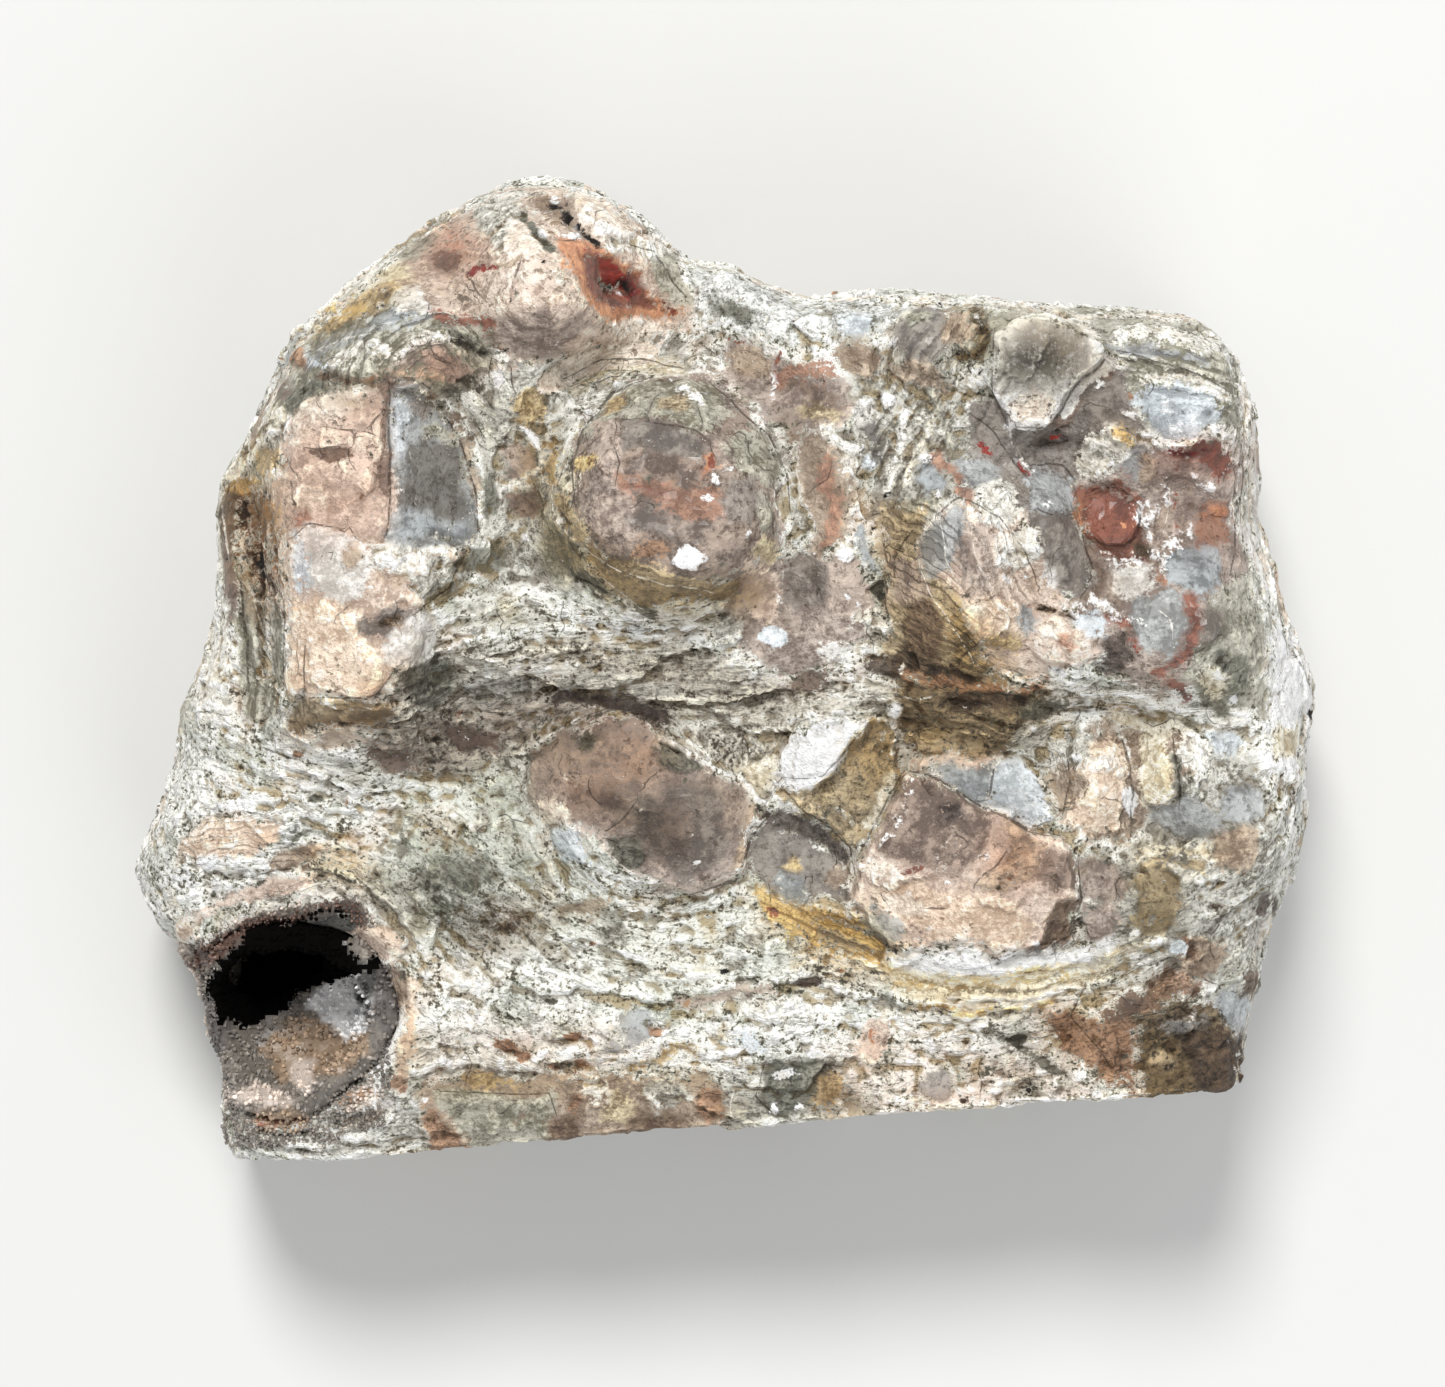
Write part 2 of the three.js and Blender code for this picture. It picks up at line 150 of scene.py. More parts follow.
class Shader:  # a material and the one way its nodes are made
    def __init__(self, name):
        self.material = bpy.data.materials.new(name)
        self.material.use_nodes = True
        self.tree = self.material.node_tree
        self.surface = self.tree.nodes["Principled BSDF"]

    def node(self, kind, settings=None, sockets=None, out=0):
        made = self.tree.nodes.new(kind)
        for key, value in (settings or {}).items():
            if key == "stops":
                ramp = made.color_ramp
                while len(ramp.elements) < len(value):
                    ramp.elements.new(0.5)
                for element, (place, tone) in zip(ramp.elements, value):
                    element.position, element.color = place, (*tone, 1)
            else:
                setattr(made, key, value)
        for key, value in (sockets or {}).items():
            self.feed(made.inputs[key], value)
        return Wire(self, made.outputs[out])

    def feed(self, socket, value):
        if isinstance(value, Wire):
            self.tree.links.new(value.socket, socket)
        elif isinstance(value, tuple) and socket.type == "RGBA" and len(value) == 3:
            socket.default_value = (*value, 1)
        else:
            socket.default_value = value

    def blend(self, share, low, high, mode="MIX", clamp=False):  # colours
        return self.node("ShaderNodeMix", {"data_type": "RGBA", "blend_type": mode, "clamp_result": clamp},
                         {0: share, 6: low, 7: high}, out=2)

    def filtered(self, share, tone, glass, clamp=False):  # a colour seen through a tinted glass
        return self.blend(share, tone, glass, "MULTIPLY", clamp)

    def ease(self, share, low, high):  # numbers
        return self.node("ShaderNodeMix", {"data_type": "FLOAT"}, {0: share, 2: low, 3: high})

    def place(self):  # where a point of the piece is, in mm
        return self.node("ShaderNodeVectorMath", {"operation": "MULTIPLY"},
                         {0: self.node("ShaderNodeTexCoord", out="Object"), 1: (1 / mm, 1 / mm, 1 / mm)})

    def noise(self, vector, size, detail=4, rough=0.55, bend=0.0):
        return self.node("ShaderNodeTexNoise", {"noise_dimensions": "3D"},
                         {"Vector": vector, "Scale": 1 / size, "Detail": detail, "Roughness": rough,
                          "Distortion": bend}, out="Fac")

    def stored(self, name, out="Fac"):  # a value painted on the mesh
        return self.node("ShaderNodeAttribute", {"attribute_name": name}, out=out)


def linear(tone):  # display tones 0 to 255 to the linear values that shaders take
    return tuple(((c / 255 + 0.055) / 1.055) ** 2.4 if c > 10 else c / 3300 for c in tone)


# big numbers that mix the bits of a cell's place
scatter = {"cell": (374761393, 668265263, 1442695041), "seed": 97531, "last": 1274126177,
           "bits": 2 ** 32 - 1}
corners = [(x, y, z) for x in (0, 1) for y in (0, 1) for z in (0, 1)]
neighbours = [(x, y, z) for x in (-1, 0, 1) for y in (-1, 0, 1) for z in (-1, 0, 1)]


def scatterOf(cells, seed):  # a repeatable whole number for each lattice cell
    h = sum(cells[:, i] * factor for i, factor in enumerate(scatter["cell"])) + seed * scatter["seed"]
    h = h & scatter["bits"]
    h = ((h ^ (h >> 13)) * scatter["last"]) & scatter["bits"]
    return h ^ (h >> 16)


def byteOf(h, axis):  # 0 to 255 for each axis
    return h >> 8 * axis & 255


def signedOf(h, axis):  # -1 to 1 for each axis
    return byteOf(h, axis) / 127.5 - 1


def grain(points, size, seed=0):  # smooth noise, about -1 to 1
    p = points / size
    corner = np.floor(p).astype(np.int64)
    f = p - corner
    w = f * f * f * (f * (f * 6 - 15) + 10)
    total = np.zeros(len(p))
    for step in corners:
        h = scatterOf(corner + step, seed)
        share = math.prod(w[:, i] if step[i] else 1 - w[:, i] for i in range(3))
        slope = sum(signedOf(h, i) * (f[:, i] - step[i]) for i in range(3))
        total += share * slope
    return total * 1.3


def layers(points, size, count, seed=0, keep=0.5):
    return sum(keep ** i * grain(points, size / 2 ** i, seed + i * 17) for i in range(count))


def chips(points, size, seed=0):  # broken facets: each cell is a small plane with a tilt of its own
    p = points / size
    home = np.floor(p).astype(np.int64)
    best = np.full(len(p), 9.0)
    height = np.zeros(len(p))
    for step in neighbours:
        cell = home + step
        h = scatterOf(cell, seed)
        seat = cell + np.stack([byteOf(h, i) for i in range(3)], 1) / 255
        away = p - seat
        far = (away ** 2).sum(1)
        tilt = scatterOf(cell, seed + 5)
        plane = signedOf(tilt, 0) * away[:, 0] + signedOf(tilt, 1) * away[:, 1] + signedOf(tilt, 2) * 0.6
        closer = far < best
        best[closer] = far[closer]
        height[closer] = plane[closer]
    return height


def smoothStep(low, high, x):
    t = np.clip((x - low) / (high - low), 0, 1)
    return t * t * (3 - 2 * t)


# shapes on the crown: their plan places are drawn in tenths of a mm, their sizes in mm
def pairs(numbers):  # u, v, u, v in tenths to points in mm
    return [(u / 10, v / 10) for u, v in zip(numbers[::2], numbers[1::2])]


def shape(points, reach, field):  # where it lies, and a field: how far inside its edge a point is, in mm
    spread = np.array(points, float)
    return {"low": spread.min(0) - reach, "high": spread.max(0) + reach, "field": field}


def pathDistance(path, u, v, closed=False):
    nearest = np.full(len(u), 1e9)
    ends = path + path[:1] if closed else path
    for (ax, ay), (bx, by) in zip(ends, ends[1:]):
        dx, dy = bx - ax, by - ay
        t = np.clip(((u - ax) * dx + (v - ay) * dy) / (dx * dx + dy * dy), 0, 1)
        nearest = np.minimum(nearest, np.hypot(u - ax - t * dx, v - ay - t * dy))
    return nearest


def blob(u, v, halfU, halfV=None, turn=0):
    u, v, halfV = u / 10, v / 10, halfV or halfU
    c, s = math.cos(math.radians(turn)), math.sin(math.radians(turn))

    def field(pu, pv):
        across = ((pu - u) * c + (pv - v) * s) / halfU
        along = ((pv - v) * c - (pu - u) * s) / halfV
        return (1 - np.hypot(across, along)) * min(halfU, halfV)
    return shape([(u, v)], max(halfU, halfV), field)


def streak(width, *numbers):
    path = pairs(numbers)
    return shape(path, width, lambda pu, pv: width / 2 - pathDistance(path, pu, pv))


def area(*numbers):  # a closed outline
    path = pairs(numbers)

    def field(pu, pv):
        inside = np.zeros(len(pu), bool)
        for (ax, ay), (bx, by) in zip(path, path[1:] + path[:1]):
            if ay != by:
                inside ^= ((ay > pv) != (by > pv)) & (pu < (bx - ax) * (pv - ay) / (by - ay) + ax)
        return np.where(inside, 1, -1) * pathDistance(path, pu, pv, closed=True)
    return shape(path, 0, field)


# finishes of the stone: light tone, dark tone, gloss, roughness of the broken surface
finishes = {
    "dome": ((229, 210, 193), (158, 138, 122), 0.1, 0.8),
    "peach": ((252, 234, 213), (196, 170, 147), 0.1, 0.8),
    "pinkRind": ((242, 223, 206), (180, 157, 141), 0.1, 0.8),
    "paleRind": ((255, 244, 228), (206, 188, 170), 0.1, 0.8),
    "cream": ((255, 253, 244), (214, 206, 190), 0.05, 1),
    "yellowCream": ((252, 246, 227), (194, 180, 150), 0.1, 0.8),
    "chalk": ((255, 255, 255), (232, 232, 230), 0, 0.8),
    "milk": ((240, 238, 233), (186, 180, 172), 0.3, 0.5),
    "frost": ((176, 179, 179), (118, 119, 118), 0.45, 0.3),
    "blueFrost": ((226, 233, 237), (164, 170, 174), 0.3, 0.5),
    "blueGrey": ((170, 176, 179), (112, 116, 118), 0.5, 0.3),
    "greyWindow": ((143, 135, 126), (91, 83, 77), 0.55, 0.3),
    "darkWindow": ((114, 110, 105), (77, 72, 67), 0.6, 0.25),
    "greenGrey": ((190, 187, 172), (115, 111, 94), 0.2, 0.8),
    "darkGreen": ((126, 125, 113), (62, 61, 52), 0.2, 1),
    "greyMix": ((216, 214, 204), (112, 107, 96), 0.1, 1.1),
    "speckled": ((244, 246, 242), (112, 112, 102), 0.05, 1.1),
    "mauve": ((190, 174, 162), (126, 111, 102), 0.3, 0.5),
    "nodule": ((162, 143, 129), (96, 81, 72), 0.4, 0.35),
    "mauveGrey": ((151, 142, 134), (96, 87, 81), 0.4, 0.4),
    "mauveBrown": ((143, 124, 110), (91, 75, 66), 0.4, 0.5),
    "darkMauve": ((108, 96, 89), (50, 41, 38), 0.25, 0.9),
    "rose": ((232, 212, 196), (176, 153, 138), 0.2, 0.5),
    "rosy": ((176, 136, 114), (126, 94, 78), 0.4, 0.4),
    "tan": ((186, 168, 148), (127, 108, 91), 0.2, 0.7),
    "ochre": ((204, 182, 140), (122, 100, 66), 0.15, 0.9),
    "gold": ((238, 213, 156), (156, 125, 72), 0.15, 0.8),
    "rust": ((172, 138, 112), (94, 69, 52), 0.2, 1),
    "olive": ((214, 197, 164), (121, 105, 79), 0.2, 0.7),
    "darkOlive": ((144, 126, 94), (46, 38, 27), 0.25, 1),
    "brown": ((138, 118, 98), (80, 62, 50), 0.3, 0.9),
    "darkBrown": ((98, 82, 67), (42, 33, 26), 0.3, 1),
    "brokenRock": ((226, 220, 205), (70, 59, 49), 0.05, 1.2),
    "layered": ((255, 255, 242), (255, 243, 210), 0.1, 0.45),
    "goldOlive": ((190, 170, 134), (88, 76, 55), 0.15, 0.8),
    "black": ((30, 23, 19), (8, 6, 5), 0.1, 0.8),
    "redBrown": ((150, 98, 80), (98, 60, 48), 0.45, 0.6),
    "carnelian": ((126, 66, 46), (88, 44, 32), 0.65, 0.3),
    "orange": ((202, 144, 106), (154, 100, 72), 0.4, 0.4),
    "red": ((146, 44, 32), (84, 20, 14), 0.6, 0.4),
}

# what lies where on the crown, later over earlier: finish, rise in mm, shape, how far it is pressed flat
zones = [
    # back dome, left shoulder, pink face, saddle
    ("dome", 0, area(-300, 315, -275, 350, -240, 385, -190, 408, -130, 420, -80, 395, -46, 360, -28, 315,
        -35, 295, -60, 275, -90, 268, -130, 256, -186, 250, -205, 285, -235, 303, -260, 300)),
    ("greenGrey", 0, area(-385, 240, -360, 290, -300, 310, -250, 305, -210, 298, -195, 270, -205, 240,
        -240, 226, -270, 240, -320, 240, -360, 205, -385, 205)),
    ("pinkRind", 0, area(-382, 180, -362, 208, -345, 226, -310, 239, -288, 240, -284, 180, -272, 140,
        -284, 102, -215, 96, -230, 65, -265, 42, -260, 15, -297, -25, -368, -28, -375, 60, -380, 100,
        -386, 130), 0.5),
    ("greyMix", 0, area(-210, 90, -205, 240, -170, 255, -135, 225, -135, 150, -120, 100, -160, 65,
        -210, 60)),
    # centre nodule and what is behind and beside it
    ("nodule", 0, area(-128, 130, -133, 170, -125, 200, -100, 235, -60, 250, -15, 243, 15, 215, 40, 195,
        56, 160, 60, 130, 50, 98, 25, 75, -20, 66, -70, 70, -110, 95)),
    ("speckled", 0, area(-30, 280, -25, 345, 10, 350, 50, 315, 100, 310, 160, 315, 150, 290, 120, 283,
        60, 268, 40, 283, 0, 282)),
    ("mauve", 0, area(0, 274, 30, 276, 60, 260, 100, 253, 120, 230, 105, 205, 80, 190, 50, 200, 10, 225)),
    ("tan", 0, area(55, 195, 85, 195, 108, 150, 106, 110, 94, 80, 73, 85, 75, 130, 60, 165)),
    ("mauve", 0, area(5, 80, 50, 98, 80, 80, 115, 90, 130, 50, 125, 20, 80, -10, 30, -5, 0, 25)),
    ("greyMix", 0, area(105, 160, 105, 275, 150, 275, 200, 245, 210, 210, 205, 140, 160, 120, 130, 130)),
    # right block
    ("greenGrey", 0, area(190, 250, 190, 310, 280, 310, 360, 305, 430, 295, 450, 240, 440, 200, 360, 205,
        330, 270, 240, 280)),
    ("mauveGrey", 0, area(205, 210, 240, 225, 300, 250, 340, 255, 355, 200, 300, 160, 310, 90, 305, 55,
        270, 50, 245, 130, 210, 170)),
    ("pinkRind", 0, area(170, 110, 200, 140, 250, 135, 275, 90, 300, 45, 315, 10, 280, -12, 220, 5, 205, 50,
        170, 60)),
    ("mauve", 0, area(295, 150, 330, 190, 385, 185, 435, 170, 445, 80, 430, 0, 385, -28, 330, -10, 300, 30,
        305, 90)),
    ("olive", 0, area(132, 135, 165, 140, 175, 90, 205, 50, 225, 5, 250, -18, 170, -20, 138, 10, 140, 60)),
    ("greenGrey", 0, area(405, 50, 445, 80, 465, 20, 465, -40, 410, -45, 395, -10)),
    # slab: grey rock behind, grey mass, rose nodule, lumps on its right
    ("brokenRock", 0, area(-300, -65, -270, -10, -200, 10, -120, 20, -40, 15, 20, -15, 80, -26, 135, -15,
        130, -40, 60, -48, -50, -48, -150, -50, -180, -80, -240, -110)),
    ("layered", 0.3, area(136, -255, 150, -243, 200, -246, 255, -250, 300, -235, 345, -236, 330, -270,
        270, -292, 200, -298, 145, -290)),
    ("mauve", 0, area(-165, -80, -140, -55, -100, -50, -60, -54, -25, -80, 25, -113, 40, -128, 22, -150,
        7, -186, -30, -195, -60, -193, -90, -175, -105, -155, -145, -135, -165, -120), 0.4),
    ("rose", 0, area(110, -170, 125, -140, 155, -90, 175, -93, 200, -108, 230, -126, 260, -142, 290, -148,
        300, -165, 303, -200, 293, -230, 255, -246, 220, -240, 170, -243, 150, -235, 130, -220, 110, -200),
        0.75),
    ("darkOlive", 0, area(140, -6, 210, -18, 260, -20, 285, -30, 270, -60, 230, -80, 170, -84, 148, -60)),
    ("tan", 0, area(275, -95, 290, -70, 310, -53, 332, -50, 370, -48, 405, -60, 400, -100, 385, -125,
        343, -148, 310, -150, 285, -135)),
    ("greyMix", 0, area(380, -110, 420, -80, 450, -80, 470, -130, 485, -180, 460, -260, 400, -270,
        350, -240, 300, -220, 305, -165, 350, -150)),
    # front margin and the corner
    ("rust", 0, area(270, -302, 310, -303, 330, -290, 360, -270, 390, -255, 410, -270, 380, -295, 350, -310,
        345, -360, 310, -340, 285, -325)),
    ("darkOlive", 0, area(350, -298, 380, -286, 410, -293, 438, -308, 450, -330, 444, -370, 350, -374)),
    ("tan", 0, area(-255, -355, -200, -349, -90, -348, -20, -346, 10, -360, -10, -398, -140, -409,
        -250, -416)),
    ("greyMix", 0, area(-5, -350, 30, -332, 90, -330, 110, -355, 100, -390, 0, -398)),
    # lower left
    ("greyMix", 0, area(-440, -310, -400, -340, -340, -354, -285, -355, -256, -360, -255, -415, -425, -416,
        -435, -360)),
]

patches = [
    # back dome
    ("brown", 0.1, blob(-152, 392, 1.7, 0.9, -35)), ("greyMix", 0, blob(-190, 380, 1.9, 2.2, 10)),
    ("paleRind", 0.1, blob(-173, 362, 1.6, 1.8, 25)), ("greenGrey", -0.1, blob(-264, 363, 1.8, 1.3, 40)),
    ("yellowCream", 0.1, blob(-284, 333, 1.8, 1, 35)), ("rose", 0, blob(-233, 364, 1.2, 1.1)),
    ("mauveBrown", 0, blob(-237, 346, 1.2, 0.9, -20)), ("rose", 0, blob(-175, 328, 2.6, 2.2, 15)),
    ("paleRind", 0.5, area(-134, 399, -120, 403, -98, 394, -82, 380, -78, 368, -100, 364, -114, 368,
        -128, 382), 0.25),
    ("orange", -0.1, area(-147, 362, -124, 362, -104, 358, -70, 344, -58, 326, -40, 302, -65, 301, -90, 290,
        -104, 302, -123, 322, -136, 334, -147, 348), 0.15),
    ("carnelian", -0.35, area(-122, 350, -98, 350, -74, 333, -56, 314, -70, 306, -94, 302, -114, 324)),
    ("rose", 0.15, streak(1, -90, 353, -72, 346, -59, 326)), ("paleRind", 0.15, blob(-74, 286, 2.2, 1, 15)),
    ("mauve", 0, blob(-158, 284, 4.8, 2.6, 5)), ("rose", 0.1, streak(1, -130, 270, -112, 280, -88, 278)),
    ("greenGrey", 0.15, area(-59, 354, -45, 358, -33, 330, -30, 308, -44, 310, -56, 330)),
    ("cream", 0.1, streak(1.2, -96, 360, -70, 364, -56, 356)),
    # left shoulder
    ("olive", 0.2, streak(2, -354, 288, -320, 303, -282, 317)),
    ("gold", 0, streak(0.9, -340, 299, -306, 307)), ("darkOlive", 0, blob(-289, 313, 1.1, 0.7, 20)),
    ("milk", 0.25, blob(-268, 310, 1.6, 1.4)), ("blueFrost", 0.1, blob(-282, 294, 2, 0.9)),
    ("frost", 0.25, streak(0.9, -356, 258, -340, 273, -315, 283, -300, 283)),
    ("blueFrost", 0.15, streak(0.8, -357, 266, -346, 256)),
    ("cream", 0.15, streak(0.8, -336, 257, -310, 270, -290, 266)),
    ("frost", 0.1, streak(0.7, -295, 284, -270, 290, -250, 298)),
    ("redBrown", -0.1, streak(1, -248, 297, -223, 297, -203, 284)),
    ("brown", 0, streak(0.7, -202, 282, -194, 264)),
    ("darkGreen", 0, streak(1.1, -234, 280, -216, 276, -208, 262)),
    ("cream", 0.2, streak(0.7, -280, 263, -264, 277, -238, 280)),
    ("mauve", -0.1, area(-276, 254, -264, 268, -244, 274, -224, 264, -217, 246, -230, 242, -250, 249,
        -270, 250), 0.6),
    ("mauveGrey", 0, blob(-264, 260, 0.9, 0.7, 25)),
    ("tan", 0.25, streak(0.8, -295, 248, -276, 247, -260, 250, -240, 244)),
    ("rust", 0.3, blob(-369, 263, 1.1, 1)), ("mauveBrown", 0.1, blob(-382, 236, 0.9, 0.8)),
    ("darkGreen", 0.2, blob(-358, 228, 1.9, 1.3, 25)),
    ("brown", -0.2, streak(0.9, -346, 244, -320, 245, -300, 241)),
    ("yellowCream", 0.1, blob(-382, 214, 0.8, 1)), ("darkGreen", 0, blob(-224, 236, 1.6, 0.8, -10)),
    # pink face
    ("paleRind", 0.1, blob(-336, 220, 2.6, 0.9, 20)), ("rose", 0, blob(-335, 126, 3, 1.2, 10)),
    ("paleRind", 0.15, blob(-354, 140, 2, 1)), ("rosy", 0.05, blob(-360, 122, 1.2, 0.7, 30)),
    ("mauveBrown", -0.15, streak(1.2, -285, 244, -289, 200, -289, 146)),
    ("peach", 0.1, area(-370, -24, -372, 50, -340, 52, -316, 50, -305, 20, -285, 6, -300, -24, -340, -30),
        0.5),
    ("frost", 0, area(-284, 234, -270, 236, -250, 225, -234, 205, -223, 186, -215, 150, -209, 120,
        -208, 100, -250, 97, -293, 104, -286, 118, -273, 132, -275, 150, -287, 170, -290, 200), 0.85),
    ("darkWindow", 0, area(-274, 182, -256, 196, -246, 186, -228, 190, -221, 156, -215, 126, -240, 120,
        -256, 130, -276, 134, -272, 160)),
    ("mauveGrey", 0, blob(-258, 219, 1.1, 0.8)),
    ("blueFrost", 0, area(-284, 226, -272, 228, -268, 204, -276, 176, -286, 174)),
    ("greenGrey", 0.15, area(-258, 204, -240, 206, -228, 196, -230, 188, -246, 193, -260, 196)),
    ("blueGrey", 0, area(-272, 138, -260, 126, -240, 118, -214, 124, -210, 102, -284, 104)),
    ("tan", 0.3, streak(0.9, -227, 200, -213, 160, -209, 134)),
    ("brown", 0.1, streak(0.6, -254, 232, -234, 214, -222, 198)),
    ("milk", 0.25, area(-373, 105, -355, 118, -335, 116, -315, 108, -303, 95, -303, 75, -315, 56, -340, 52,
        -357, 60, -370, 80)),
    ("blueFrost", 0.05, blob(-362, 86, 0.9, 2.6, 10)), ("tan", 0.1, blob(-317, 88, 1.1, 0.9)),
    ("cream", 0.15, area(-300, 98, -240, 99, -228, 89, -260, 76, -300, 76)),
    ("greyMix", 0, blob(-244, 70, 2.8, 2, 10)), ("darkGreen", -0.1, blob(-222, 82, 1.8, 0.7, 10)),
    ("mauveGrey", -0.1, blob(-290, 35, 2.7, 1.3)), ("darkBrown", -0.35, blob(-285, 36, 1.3, 0.4, -8)),
    ("milk", 0.15, blob(-266, 20, 1.6, 2.4, -40)),
    ("olive", 0, area(-370, -29, -330, -29, -290, -30, -284, -50, -305, -57, -350, -56, -372, -52)),
    ("ochre", 0, blob(-320, -37, 2.6, 0.6)), ("paleRind", 0.1, blob(-325, -66, 2.4, 0.6)),
    # left edge
    ("darkOlive", -0.1, blob(-398, 190, 2, 0.9, 40)),
    ("cream", 0.4, streak(0.8, -432, 156, -410, 169, -394, 188, -386, 196)),
    ("olive", 0.1, blob(-394, 172, 1, 1.5, -25)), ("gold", 0.1, blob(-412, 155, 1.2, 0.8)),
    ("brown", 0.1, blob(-422, 125, 0.8, 2.6)), ("olive", 0, blob(-392, 126, 1, 2.4, 12)),
    ("darkBrown", -0.5, streak(1.4, -410, 136, -403, 120, -399, 94, -389, 66)),
    ("mauveBrown", 0.1, streak(1, -424, 100, -420, 70, -417, 40)),
    ("greenGrey", 0, area(-412, 70, -392, 56, -380, 50, -374, 0, -380, -44, -406, -50)),
    ("darkOlive", -0.2, streak(0.7, -394, 50, -392, 0, -382, -36)),
    ("cream", 0.1, area(-445, 50, -422, 55, -416, 0, -415, -60, -452, -50)),
    # saddle
    ("ochre", 0.15, blob(-166, 219, 1.5, 1.5)),
    ("mauve", -0.05, area(-192, 184, -174, 192, -163, 172, -170, 156, -188, 156)),
    ("mauveBrown", -0.05, area(-186, 146, -166, 150, -156, 134, -164, 122, -184, 128)),
    ("darkGreen", -0.2, blob(-199, 144, 0.9, 2.2)), ("ochre", 0.1, blob(-147, 170, 0.8, 2)),
    ("cream", 0.15, streak(0.4, -186, 152, -162, 164, -154, 180)),
    ("olive", 0.2, blob(-137, 133, 1, 1.3, 40)), ("olive", 0.2, blob(-125, 113, 1.2, 0.9, 35)),
    ("yellowCream", 0.1, blob(-134, 154, 0.9, 1)), ("darkGreen", -0.1, blob(-206, 86, 2.6, 1, 25)),
    ("greenGrey", 0, blob(-140, 88, 1.6, 2.6, 10)),
    ("darkGreen", -0.1, streak(1.1, -126, 76, -90, 62, -60, 44)),
    # centre nodule
    ("yellowCream", 0.1, area(-140, 236, -105, 266, -65, 268, -24, 254, -30, 246, -70, 250, -104, 246,
        -128, 228)),
    ("greenGrey", 0.1, area(-124, 196, -102, 234, -60, 244, -10, 234, 6, 214, -14, 202, -50, 204, -90, 210,
        -106, 186)),
    ("olive", 0, blob(-40, 224, 1.6, 0.9, -10)), ("ochre", 0, blob(-96, 222, 1.3, 0.9, 30)),
    ("greyWindow", -0.25, area(-93, 207, -74, 208, -60, 202, -26, 201, -14, 192, -16, 179, -40, 179,
        -70, 182, -90, 180), 0.7),
    ("nodule", -0.15, area(-92, 176, -50, 180, -10, 176, -6, 160, -30, 154, -90, 154)),
    ("rosy", 0, area(-94, 158, -40, 156, -2, 156, 2, 124, -20, 116, -44, 126, -60, 140, -90, 146)),
    ("mauve", 0.05, blob(-94, 126, 2.6, 1.9, -10)), ("mauveGrey", -0.05, blob(-68, 122, 1.3, 1, 20)),
    ("mauve", 0.15, area(-114, 206, -94, 206, -89, 184, -94, 174, -89, 164, -104, 154, -118, 170)),
    ("orange", 0.05, blob(-11, 174, 0.5, 1)), ("gold", 0, blob(-120, 171, 0.7, 0.8)),
    ("greenGrey", 0.1, area(2, 196, 32, 203, 54, 166, 46, 150, 14, 160)),
    ("mauveGrey", 0, blob(14, 138, 1.6, 2.2)), ("greenGrey", 0.1, blob(36, 126, 0.9, 2)),
    ("olive", 0.1, blob(37, 96, 1, 0.9)), ("rust", 0, blob(-60, 94, 1.6, 0.8, 15)),
    ("olive", -0.15, area(-114, 96, -70, 86, -46, 74, 0, 70, 34, 78, 10, 58, -50, 48, -88, 56, -110, 76)),
    ("pinkRind", 0.1, blob(30, 60, 1.7, 2.4, 15)), ("greyMix", 0, blob(2, 30, 1.4, 1.6)),
    # back middle
    ("blueFrost", 0.2, blob(117, 290, 1.5, 0.9)), ("darkGreen", -0.15, blob(6, 304, 2, 0.9, -20)),
    ("tan", 0.1, blob(26, 258, 2, 1.3, -20)), ("rosy", 0.1, streak(1.2, 48, 242, 70, 252, 94, 250)),
    ("mauveBrown", 0, blob(76, 228, 2.4, 1.3, -25)), ("mauve", 0.25, blob(60, 225, 1.4, 0.7, 5)),
    ("olive", 0, blob(80, 212, 1.6, 0.8, -10)), ("cream", 0.45, streak(1, 85, 198, 100, 190, 118, 183)),
    ("darkWindow", -0.2, streak(1, 113, 212, 130, 200, 135, 185, 128, 173)),
    ("milk", 0.1, blob(116, 214, 0.7, 1.1, -30)), ("tan", 0.1, blob(120, 260, 2, 1.5)),
    ("blueFrost", 0.15, blob(120, 169, 0.8, 0.6)),
    ("rosy", 0.1, streak(1, 86, 166, 96, 140, 94, 110, 88, 96)), ("greyMix", 0, blob(62, 134, 1, 2.6, 15)),
    ("mauveGrey", -0.1, area(46, 88, 70, 94, 90, 80, 84, 48, 54, 52)),
    ("mauve", 0.1, area(94, 82, 120, 80, 128, 60, 110, 40, 88, 48)),
    ("blueGrey", 0.15, area(110, 120, 118, 118, 134, 84, 128, 78, 116, 96)),
    ("cream", 0.15, blob(126, 34, 1.6, 0.9, -10)), ("milk", 0.15, blob(94, 10, 1.5, 0.9)),
    # right block: left part, from the lens to the dark foot
    ("greyWindow", 0.3, blob(172, 279, 2.2, 2.9, -8), 0.3), ("greenGrey", 0.1, blob(166, 294, 1.2, 0.9)),
    ("tan", 0.15, blob(170, 246, 2.6, 1, -25)), ("tan", 0.25, blob(199, 288, 1.1, 1.6, -12)),
    ("darkOlive", -0.3, streak(1, 190, 310, 214, 304, 223, 286, 214, 270, 202, 264)),
    ("cream", 0.1, blob(210, 242, 1.4, 1, -10)), ("cream", 0.3, streak(0.7, 140, 150, 148, 180, 150, 214)),
    ("greenGrey", 0.3, streak(0.7, 176, 236, 184, 210, 198, 190)),
    ("yellowCream", 0.3, streak(0.6, 154, 154, 166, 180, 174, 206)),
    ("rosy", 0.15, streak(1.1, 184, 178, 196, 160, 210, 144)), ("blueGrey", 0, blob(176, 154, 1.1, 1.4)),
    ("greyWindow", 0.35, area(208, 224, 228, 226, 244, 198, 262, 168, 254, 158, 234, 180, 204, 206), 0.5),
    ("frost", 0, blob(216, 164, 1.6, 1.6, -30)), ("cream", 0.1, blob(234, 136, 1.5, 2.4, 30)),
    ("greenGrey", 0.1, blob(170, 136, 1.6, 1, 20)),
